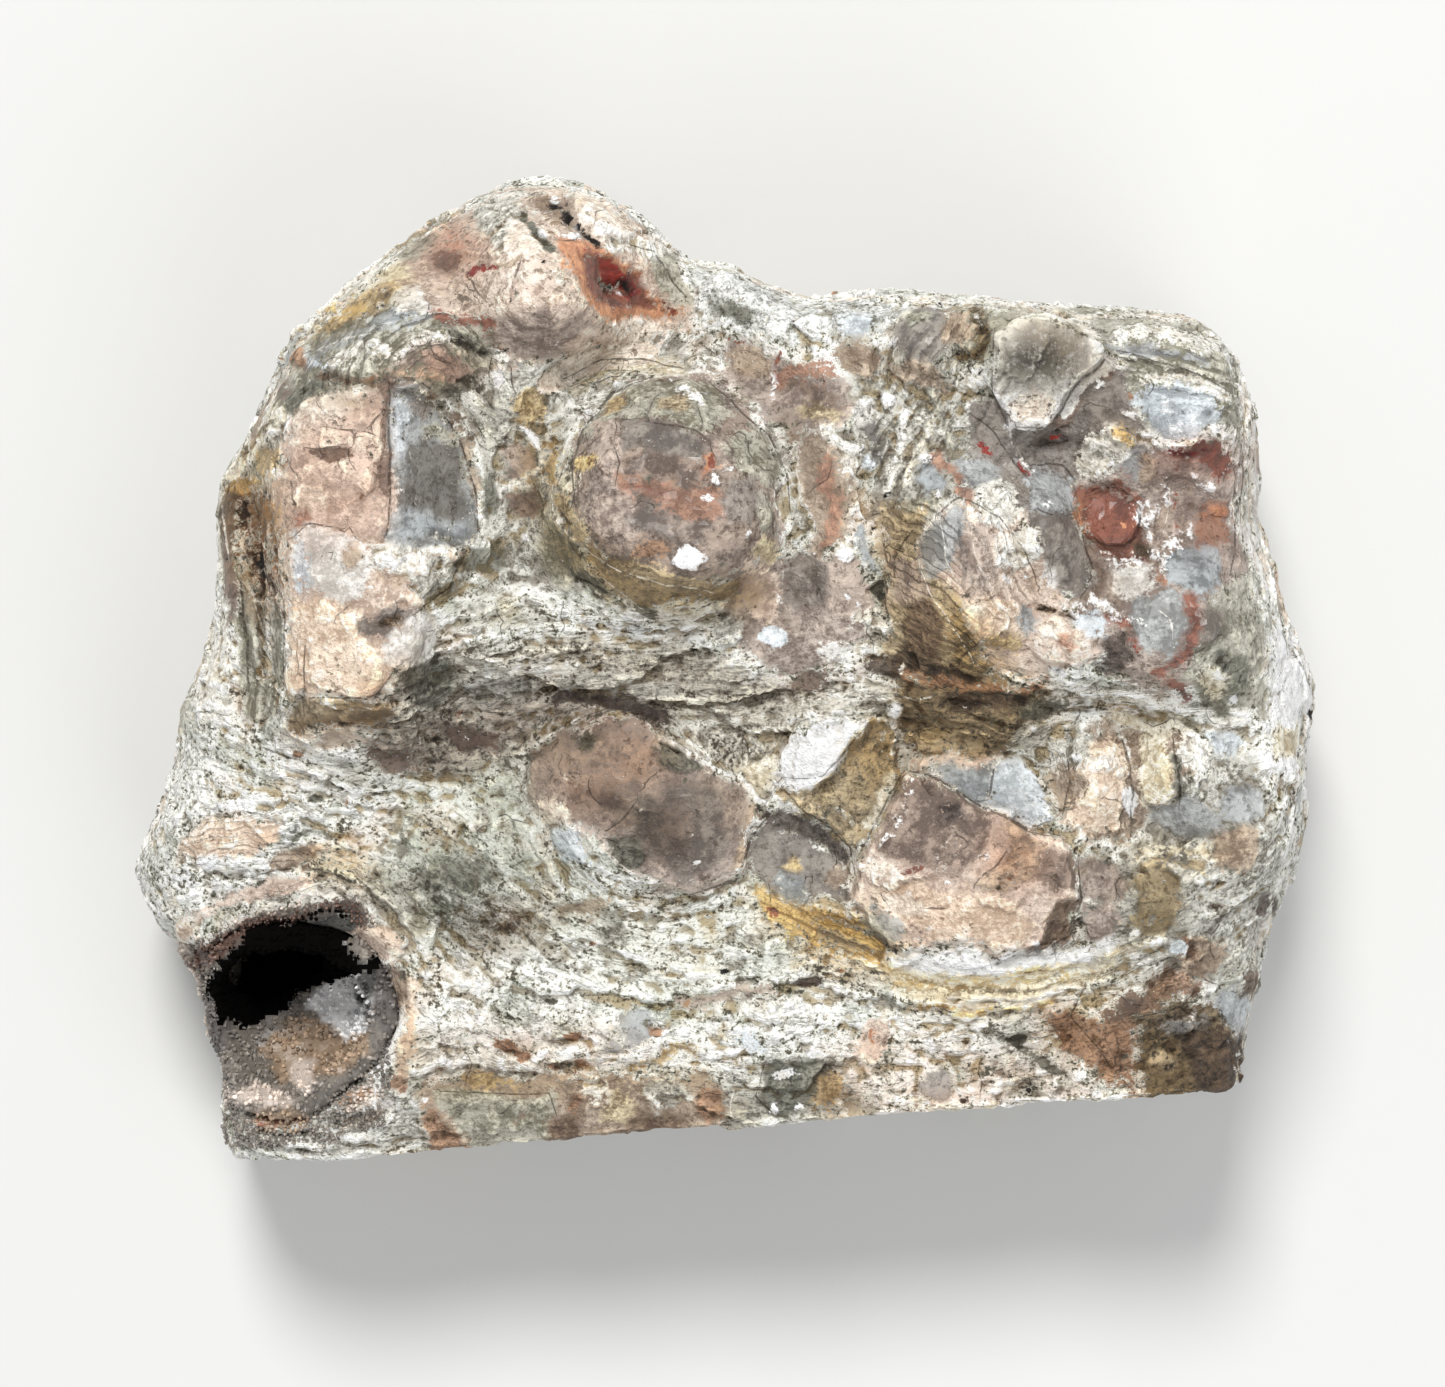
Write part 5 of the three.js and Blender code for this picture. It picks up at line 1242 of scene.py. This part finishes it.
def buildLump():
    piece = fineCopy("banded_lump", "agate_lump", lump["grid"])
    mesh = piece.data
    points, edges = pointsOf(mesh) / mm, edgesOf(mesh)
    soft = eased(points, edges, lump["eased"])
    # the base and the sawn front stay flat
    fixed = np.maximum(1 - smoothStep(0.2, 0.8, points[:, 2]), 1 - smoothStep(0.2, 0.6, sawnDepth(points)))
    points = pressed(soft * (1 - fixed[:, None]) + points * fixed[:, None])
    sunk = np.maximum((eased(points, edges, 60) - points)[:, 2], 0)
    points[:, 2] += sunk * (1 - inHollow(points, 2)) * (1 - fixed) * lump["filled"]
    setPoints(mesh, points)
    normals = pointsOf(mesh, "vertex_normals", "vector")
    setPoints(mesh, insideBox(points + normals * reliefOf(points, paint(points))[:, None]))
    print("lump relief on", len(points), "points")
    mesh = applied(piece, "DECIMATE", ratio=lump["faces"] / (2 * len(points)))
    points, edges = insideBox(pointsOf(mesh) / mm), edgesOf(mesh)
    setPoints(mesh, points)
    normals = pointsOf(mesh, "vertex_normals", "vector")
    seen = paint(points)
    seen["along"], seen["across"] = seen["flow"][:, 0], seen["flow"][:, 1]
    for name, rounds in (("pit", 5), ("dent", 40)):  # how deep a point lies, close to and over a wider reach
        seen[name] = ((eased(points, edges, rounds) - points) * normals).sum(1)
    for name in ("flow", "rise", "rough"):
        del seen[name]
    for name, values in seen.items():
        store(mesh, name, values)
    print("lump painted,", len(mesh.polygons), "faces")
    return piece


# how the stone looks: tones 0 to 255, sizes in mm
stone = {
    # plain rock, from its darkest bands to its palest
    "bands": ((0.27, (84, 79, 68)), (0.36, (146, 143, 129)), (0.43, (200, 198, 186)), (0.5, (240, 239, 230)),
              (0.6, (255, 255, 250))),
    "rose": (226, 206, 192), "cream": (224, 208, 176), "green": (200, 204, 194),  # washes over it
    # how raggedly the painted places end, how softly, and how strong they are
    "places": (("zone", 1.1, 0.4, 0.94), ("patch", 0.62, 0.2, 0.94), ("mark", 0.24, 0.08, 1)),
    "hairs": (112, 104, 84), "pores": (140, 124, 106), "paleGrainsAndGlints": (248, 244, 236),
    "lines": (("thread", (246, 240, 228), 0.6), ("crack", (78, 64, 53), 0.65)),
    # tints of the painted shade in pits and hollows, tinted like grime, and the gain of the painted
    # highlight and wear on edges
    "grimeAndShade": ((140, 130, 116), (172, 146, 90)), "wearAndHighlight": (1.75, 1.75, 1.7),
    "coatRoughness": 0.2, "specular": 0.4, "bump": (0.9, 0.0005),  # strength, and depth in metres
}


def stoneMaterial():
    s = Shader("banded_stone")
    place = s.place()
    height = s.node("ShaderNodeSeparateXYZ", None, {0: place}, out=2)
    along, across = s.stored("along"), s.stored("across")
    flow = s.node("ShaderNodeCombineXYZ", None, {0: along * 0.36, 1: across, 2: height * 0.4})
    bands = s.noise(flow, 1.9, 6, 0.7, 0.9)
    fibres = s.noise(flow, 0.4, 4, 0.65)
    grainy = s.noise(place, 0.36, 4, 0.7)
    patchy = s.noise(place, 1.4, 6, 0.68)
    cloudy = s.noise(place, 4.6, 5, 0.62)
    gloss, plain = s.stored("gloss"), s.stored("banded")
    # fine grain, spots and clouds mix the light and the dark tone of each finish
    mix = (grainy - 0.5) * (1.15 - gloss * 1.3) + (patchy - 0.5) * (0.85 + gloss * 0.9)
    mix = (mix + (cloudy - 0.5) * (0.8 + gloss * 0.8)) * 3.6 + 0.5
    # plain rock: bands of white, cream, green grey and olive
    share = (bands * 0.5 + fibres * 0.35 + grainy * 0.85 + patchy * 0.7 - 1.2) * 1.85 + 0.58
    stops = [(at, linear(tone)) for at, tone in stone["bands"]]
    tone = s.node("ShaderNodeValToRGB", {"stops": stops}, {0: share})
    tone = s.filtered(s.noise(place, 6, 4, 0.6).step(0.52, 0.68) * 0.6, tone, linear(stone["rose"]))
    tone = s.filtered(s.noise(place, 3.4, 4, 0.6).step(0.56, 0.7) * 0.5, tone, linear(stone["cream"]))
    tone = s.filtered(cloudy.step(0.5, 0.66) * 0.7, tone, linear(stone["green"]))
    mix = s.ease(plain, mix, (share - 0.5) * 2.6 + 0.5)
    # layers in the folds, each with a tone of its own and a dark line beside it
    layer, folded = s.stored("layer") + (patchy - 0.5) * 0.7 + (grainy - 0.5) * 0.6, s.stored("layerShare")
    own = s.node("ShaderNodeTexNoise", {"noise_dimensions": "1D"},
                 {"W": layer, "Scale": 1.1, "Detail": 3, "Roughness": 0.7})
    seam = 1 - abs(layer.math("FRACT", layer) - 0.5).step(0.03, 0.16)
    mix = mix + ((own - 0.5) * 3.2 - seam * (0.1 + patchy.step(0.44, 0.62) * 0.6)) * folded
    # the painted places
    ragged = (patchy - 0.5) * 4.2 + (grainy - 0.5) * 3.6
    for name, loose, soft, strength in stone["places"]:
        mask = (s.stored(name + "Cover") + ragged * loose).step(-soft, soft) * strength
        own = s.blend(mix, s.stored(name + "Dark", "Color"), s.stored(name + "Light", "Color"))
        tone = s.blend(mask, tone, own)
    soaked = (patchy * 1.3 + grainy * 1.5 - 0.9 + gloss * 0.5).step(0.1, 0.75)
    tone = s.filtered(soaked, tone, s.stored("stain", "Color"))
    # hair lines along the bands and across them
    coarse = 1 - gloss * 1.3
    lines = 1 - abs(s.noise(flow, 1.5, 5, 0.7, 0.6) - 0.5).step(0, 0.03)
    veins = 1 - abs(s.noise(place, 3.1, 6, 0.66, 0.5) - 0.5).step(0, 0.014)
    hairs = lines * patchy.step(0.46, 0.6) * plain + veins * cloudy.step(0.52, 0.64) * 0.5
    tone = s.filtered(hairs * coarse * 0.6, tone, linear(stone["hairs"]))
    # pores, and pale grains that catch the light, painted as glints
    pores = s.noise(place, 0.75, 3, 0.6).step(0.6, 0.68) * cloudy.step(0.4, 0.6)
    tone = s.filtered(pores * (0.75 - gloss * 0.6), tone, linear(stone["pores"]))
    pale = s.noise(place, 0.6, 3, 0.7).step(0.65, 0.7) * s.noise(place, 5, 3).step(0.48, 0.6)
    tone = s.blend(pale * 0.6, tone, linear(stone["paleGrainsAndGlints"]))
    # drawn threads and cracks, broken up by the grain
    for name, finish, strength in stone["lines"]:
        side = abs(s.stored(name + "Side") + (grainy - 0.5) * 2.6)
        line = (1 - side.step(0.5, 1.3)) * (1 - s.stored(name + "Away").step(0.3, 0.45))
        line = line * (patchy * 3.4 + grainy * 2.6 - 2.7).step(0, 0.5)
        tone = s.blend(line * strength, tone, linear(finish))
    # painted shade, tinted like grime, in the pits and hollows; painted highlight and wear on the edges
    pit, dent = s.stored("pit"), s.stored("dent")
    grimeAndShade = s.blend(s.noise(place, 8, 3).step(0.42, 0.6), *(linear(tint) for tint in stone["grimeAndShade"]))
    deep = (pit * 8 + dent * 0.8 + (grainy - 0.5) * 1.6 + (patchy - 0.5) * 1.2).step(0.15, 1.2)
    tone = s.filtered(deep * (0.3 + plain * 0.45), tone, grimeAndShade)
    # convex edges lighten: painted highlight, with wear
    edge = (0 - pit * 8 - dent * 0.3 + (grainy - 0.5) * 1.2).step(0.25, 1.3)
    tone = s.blend(edge * coarse * 0.8, tone, s.filtered(1.0, tone, stone["wearAndHighlight"], clamp=True))
    s.feed(s.surface.inputs["Base Color"], tone)
    s.feed(s.surface.inputs["Roughness"], 0.84 - gloss * 0.55 + (grainy - 0.5) * 0.25)
    s.feed(s.surface.inputs["Coat Weight"], (gloss - 0.25).step(0, 0.4) * 0.35)
    s.surface.inputs["Coat Roughness"].default_value = stone["coatRoughness"]
    s.surface.inputs["Specular IOR Level"].default_value = stone["specular"]
    rise = grainy * 0.75 + fibres * plain * 0.4 + s.noise(place, 0.2, 2, 0.6) * 0.3 + (pale - pores) * 0.4
    rise = rise - hairs * 0.4 - line * 0.8 - seam * folded * 0.3
    strength, depth = stone["bump"]
    s.feed(s.surface.inputs["Normal"], s.node("ShaderNodeBump", None, {
        "Height": rise * (1.15 - gloss), "Strength": strength, "Distance": depth}))
    return s.material


agateLump = buildLump()
agateLump.data.materials.append(stoneMaterial())
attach(agateLump, "root")
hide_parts("banded_lump")
print("lump dressed")


# the crystal crust of the hollow: sizes in mm
crust = {
    "grid": 0.4, "grown": (0.24, 0.12), "seed": 7,  # fineness, how far it is built out and how unevenly
    # crystals: where they sit, how many, and the greatest width and length
    "lining": {"count": 4200, "width": 0.23, "length": 0.5},
    "rim": {"count": 2600, "width": 0.18, "length": 0.35},
    "sunk": 0.3, "lean": 0.4, "shade": (0.5, 1.4),  # how deep they root, how they lean, how they differ
    "backed": 0.85,  # nearer to the lump than this the lining is out of sight and bears none
    "brokenSide": {"from": -43.5, "wall": (-43.6, -44.8), "under": (15, 21)},
    # the cave's black is painted shade; it ends at these bounds
    "daylight": {"wall": (-42.5, -41), "height": (14, 18)},  # outside of this the cave isn't dark
    "tones": {
        # cave: a near-black tone, painted shade of the deep hollow; the other tones are the crystals' own
        "cave": (9, 7, 6), "fringe": (92, 70, 60), "grey": (126, 119, 111), "brown": (160, 138, 116),
        "sparkle": (255, 255, 255), "sugar": (214, 200, 188), "dark": (98, 92, 88), "deep": (58, 56, 54),
        "lip": (226, 212, 198)},
    "specular": 0.5, "bump": (0.3, 0.0002),  # strength, and depth in metres
}
# near-black material for the cave's faces: painted shade of the deep hollow
cave = {"tones": ((2, 2, 2), (7, 5, 4)), "roughness": 0.95, "specular": 0.05}
crustPlaces = [
    ("grey", area(-470, -200, -240, -200, -240, -420, -470, -420)),
    ("lip", streak(1.6, -460, -232, -436, -216, -400, -204, -360, -196, -330, -188, -304, -196,
        -296, -214)),
    ("brown", area(-370, -300, -340, -298, -304, -304, -298, -330, -330, -350, -376, -354, -390, -324)),
    ("sugar", blob(-358, -346, 1.1, 1.3, 20)), ("brown", blob(-376, -384, 2.3, 1)),
    ("dark", area(-446, -276, -426, -280, -414, -306, -422, -330, -444, -326)),
    ("dark", area(-306, -254, -270, -254, -266, -290, -286, -320, -298, -290)),
    ("sparkle", area(-352, -284, -336, -268, -310, -262, -299, -280, -302, -310, -320, -318, -338, -304)),
    ("deep", blob(-305, -273, 1, 1.3)), ("sugar", blob(-394, -366, 2.6, 1, -8)),
    ("sugar", blob(-304, -368, 2, 0.9, 20)),
    ("fringe", area(-460, -257, -441, -235, -401, -218, -360, -208, -334, -201, -308, -202, -300, -220,
        -314, -230, -334, -220, -370, -226, -410, -240, -436, -260)),
    # the cave: painted shade, near-black where the hollow runs deep under its lip
    ("cave", area(-436, -276, -431, -254, -402, -228, -360, -215, -336, -210, -316, -214, -319, -246,
        -290, -252, -305, -261, -340, -269, -360, -282, -390, -295, -402, -305, -424, -300)),
]
rimPlaces = [
    streak(1.5, -456, -254, -434, -236, -400, -222, -366, -213, -336, -205, -312, -209, -304, -224),
    area(-446, -260, -442, -330, -434, -408, -340, -406, -290, -390, -282, -354, -280, -300, -282, -256,
        -300, -250, -310, -310, -360, -360, -416, -350, -430, -300),
]


def crustLook(points):  # tone of the crystals by place, and where the cave swallows the light
    u, v = planOf(points)
    tone = np.zeros((len(points), 3))
    wobble = layers(points, 1.6, 3, 61) * 0.8
    for finish, form in crustPlaces:
        share = smoothStep(-0.3, 0.3, form["field"](u, v) + wobble)
        if finish == "cave":  # the outer wall stays in daylight
            share *= np.maximum(smoothStep(*crust["daylight"]["wall"], points[:, 0]),
                                smoothStep(*crust["daylight"]["height"], points[:, 2]))
        tone += (np.array(linear(crust["tones"][finish])) - tone) * share[:, None]
    # the broken side of the crust, under the rim, is as pale as the rock about it
    side = smoothStep(*crust["brokenSide"]["wall"], points[:, 0])
    side *= (1 - smoothStep(*crust["brokenSide"]["under"], points[:, 2])) * (1 - share)
    tone += (np.array(linear(crust["tones"]["lip"])) - tone) * side[:, None]
    return tone, share > 0.5


def facesOf(mesh, name, width=3):
    values = np.empty(len(mesh.polygons) * width)
    mesh.polygons.foreach_get(name, values)
    return values.reshape(-1, width) if width > 1 else values


def crystalsOn(middles, normals, areas, look, dice):  # six-sided crystals: points by crystal
    count = look["count"]
    seats = dice.choice(len(middles), count, p=areas / areas.sum())
    axis = normals[seats] + dice.normal(0, crust["lean"], (count, 3))
    axis /= np.linalg.norm(axis, axis=1)[:, None]
    side = np.cross(axis, dice.normal(0, 1, (count, 3)))
    side /= np.linalg.norm(side, axis=1)[:, None]
    other = np.cross(axis, side)
    size = dice.uniform(0.45, 1, (count, 1))
    width, length = size * look["width"], size * look["length"]
    base = middles[seats] - axis * crust["sunk"]
    rings = []
    for level, share in ((0, 1), (crust["sunk"] + length * 0.5, 0.92)):
        for corner in range(6):
            angle = corner * math.pi / 3
            spoke = side * math.cos(angle) + other * math.sin(angle)
            rings.append(base + axis * level + spoke * width * share)
    rings.append(base + axis * (crust["sunk"] + length))
    return np.stack(rings, 1)


def crystalFaces(first):
    sides = [(first + c, first + (c + 1) % 6, first + 6 + (c + 1) % 6, first + 6 + c) for c in range(6)]
    tips = [(first + 6 + c, first + 6 + (c + 1) % 6, first + 12) for c in range(6)]
    return sides + tips + [tuple(first + c for c in range(5, -1, -1))]


def buildCrust():
    piece = fineCopy("crystal_crust", "sparry_crust", crust["grid"])
    mesh = piece.data
    points = eased(pointsOf(mesh) / mm, edgesOf(mesh), 4)
    setPoints(mesh, points)
    grown, uneven = crust["grown"]
    grown = grown + uneven * layers(points, 1.4, 2, 71)
    points = points + pointsOf(mesh, "vertex_normals", "vector") * grown[:, None]
    setPoints(mesh, points)
    dice = np.random.default_rng(crust["seed"])
    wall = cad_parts["banded_lump"].data
    wall = BVHTree.FromPolygons([p.co for p in wall.vertices], [p.vertices for p in wall.polygons])
    lining = BVHTree.FromPolygons([p.co for p in mesh.vertices], [p.vertices for p in mesh.polygons])

    # the lining's open side and its upper edge
    middles, normals = facesOf(mesh, "center"), facesOf(mesh, "normal")
    bare = [wall.find_nearest(Vector(place))[3] > crust["backed"] * mm or normal[2] > 0.2
            or (normal[0] < -0.5 and place[0] < crust["brokenSide"]["from"] * mm)
            for place, normal in zip(middles, normals)]
    areas = facesOf(mesh, "area", 1)
    groups = [crystalsOn(middles[bare] / mm, normals[bare], areas[bare], crust["lining"], dice)]
    # the lump's own surface around the hollow
    rock = agateLump.data
    middles, normals, areas = facesOf(rock, "center"), facesOf(rock, "normal"), facesOf(rock, "area", 1)
    u, v = planOf(middles / mm)
    stray = layers(middles / mm, 2, 3, 67) * 0.7
    near = np.flatnonzero((np.maximum(*[form["field"](u, v) for form in rimPlaces]) + stray > 0)
                          & (crownShareOf(middles / mm, u, v) > 0.4))
    near = near[[lining.find_nearest(Vector(middles[face]))[3] > 0.2 * mm for face in near]]
    groups.append(crystalsOn(middles[near] / mm, normals[near], areas[near], crust["rim"], dice))

    crystals = np.concatenate(groups)
    each = crystals.shape[1]  # points of one crystal
    shades = np.repeat(dice.uniform(*crust["shade"], len(crystals)), each)
    shades = np.concatenate([np.full(len(points), 0.7), shades])
    everything = insideBox(np.concatenate([points, crystals.reshape(-1, 3)]))
    faces = [tuple(p.vertices) for p in mesh.polygons]
    for number in range(len(crystals)):
        faces += crystalFaces(len(points) + number * each)
    made = bpy.data.meshes.new("sparry_crust")
    made.from_pydata(everything * mm, [], faces)
    piece.data = made
    bpy.data.meshes.remove(mesh)
    tone, dark = crustLook(everything)
    store(made, "tone", tone * shades[:, None])
    # faces in the cave's painted shade take the near-black material
    starts = [face[0] for face in faces]
    made.polygons.foreach_set("material_index", dark[starts].astype(np.int32))
    print("crust with", len(crystals), "crystals,", len(made.polygons), "faces")
    return piece


def crystalMaterial():
    s = Shader("drusy_quartz")
    place = s.place()
    fine = s.noise(place, 0.3, 3, 0.6)
    wide = s.noise(place, 1.5, 3, 0.6)
    tone = s.filtered(1.0, s.stored("tone", "Color"), 0.2 + fine * 1.1 + wide * 0.75)
    s.feed(s.surface.inputs["Base Color"], tone)
    s.feed(s.surface.inputs["Roughness"], 0.2 + fine * 0.35)
    strength, depth = crust["bump"]
    s.feed(s.surface.inputs["Normal"],
           s.node("ShaderNodeBump", None, {"Height": fine, "Strength": strength, "Distance": depth}))
    s.surface.inputs["Specular IOR Level"].default_value = crust["specular"]
    return s.material


def caveShadeMaterial():
    s = Shader("unlit_cavity")
    tone = s.blend(s.noise(s.place(), 0.6, 3), *(linear(tone) for tone in cave["tones"]))
    s.feed(s.surface.inputs["Base Color"], tone)
    s.surface.inputs["Roughness"].default_value = cave["roughness"]
    s.surface.inputs["Specular IOR Level"].default_value = cave["specular"]
    return s.material


sparryCrust = buildCrust()
sparryCrust.data.materials.append(crystalMaterial())
sparryCrust.data.materials.append(caveShadeMaterial())
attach(sparryCrust, "root")
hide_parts("crystal_crust")
print("crust dressed")


floorLook = {"size": 1600, "tint": (0.645, 0.645, 0.635), "shade": 0.97, "cloud": 60, "roughness": 0.9}  # mm


def buildFloor():
    half = floorLook["size"] * mm / 2
    mesh = bpy.data.meshes.new("floor")
    square = [(-half, -half, 0), (half, -half, 0), (half, half, 0), (-half, half, 0)]
    mesh.from_pydata(square, [], [(0, 1, 2, 3)])
    floor = bpy.data.objects.new("floor", mesh)
    scene.collection.objects.link(floor)
    s = Shader("pale_cloth")
    soft = s.noise(s.place(), floorLook["cloud"], 2)
    shaded = tuple(part * floorLook["shade"] for part in floorLook["tint"])
    s.feed(s.surface.inputs["Base Color"], s.blend(soft, floorLook["tint"], shaded))
    s.surface.inputs["Roughness"].default_value = floorLook["roughness"]
    mesh.materials.append(s.material)


buildFloor()
print("floor laid")
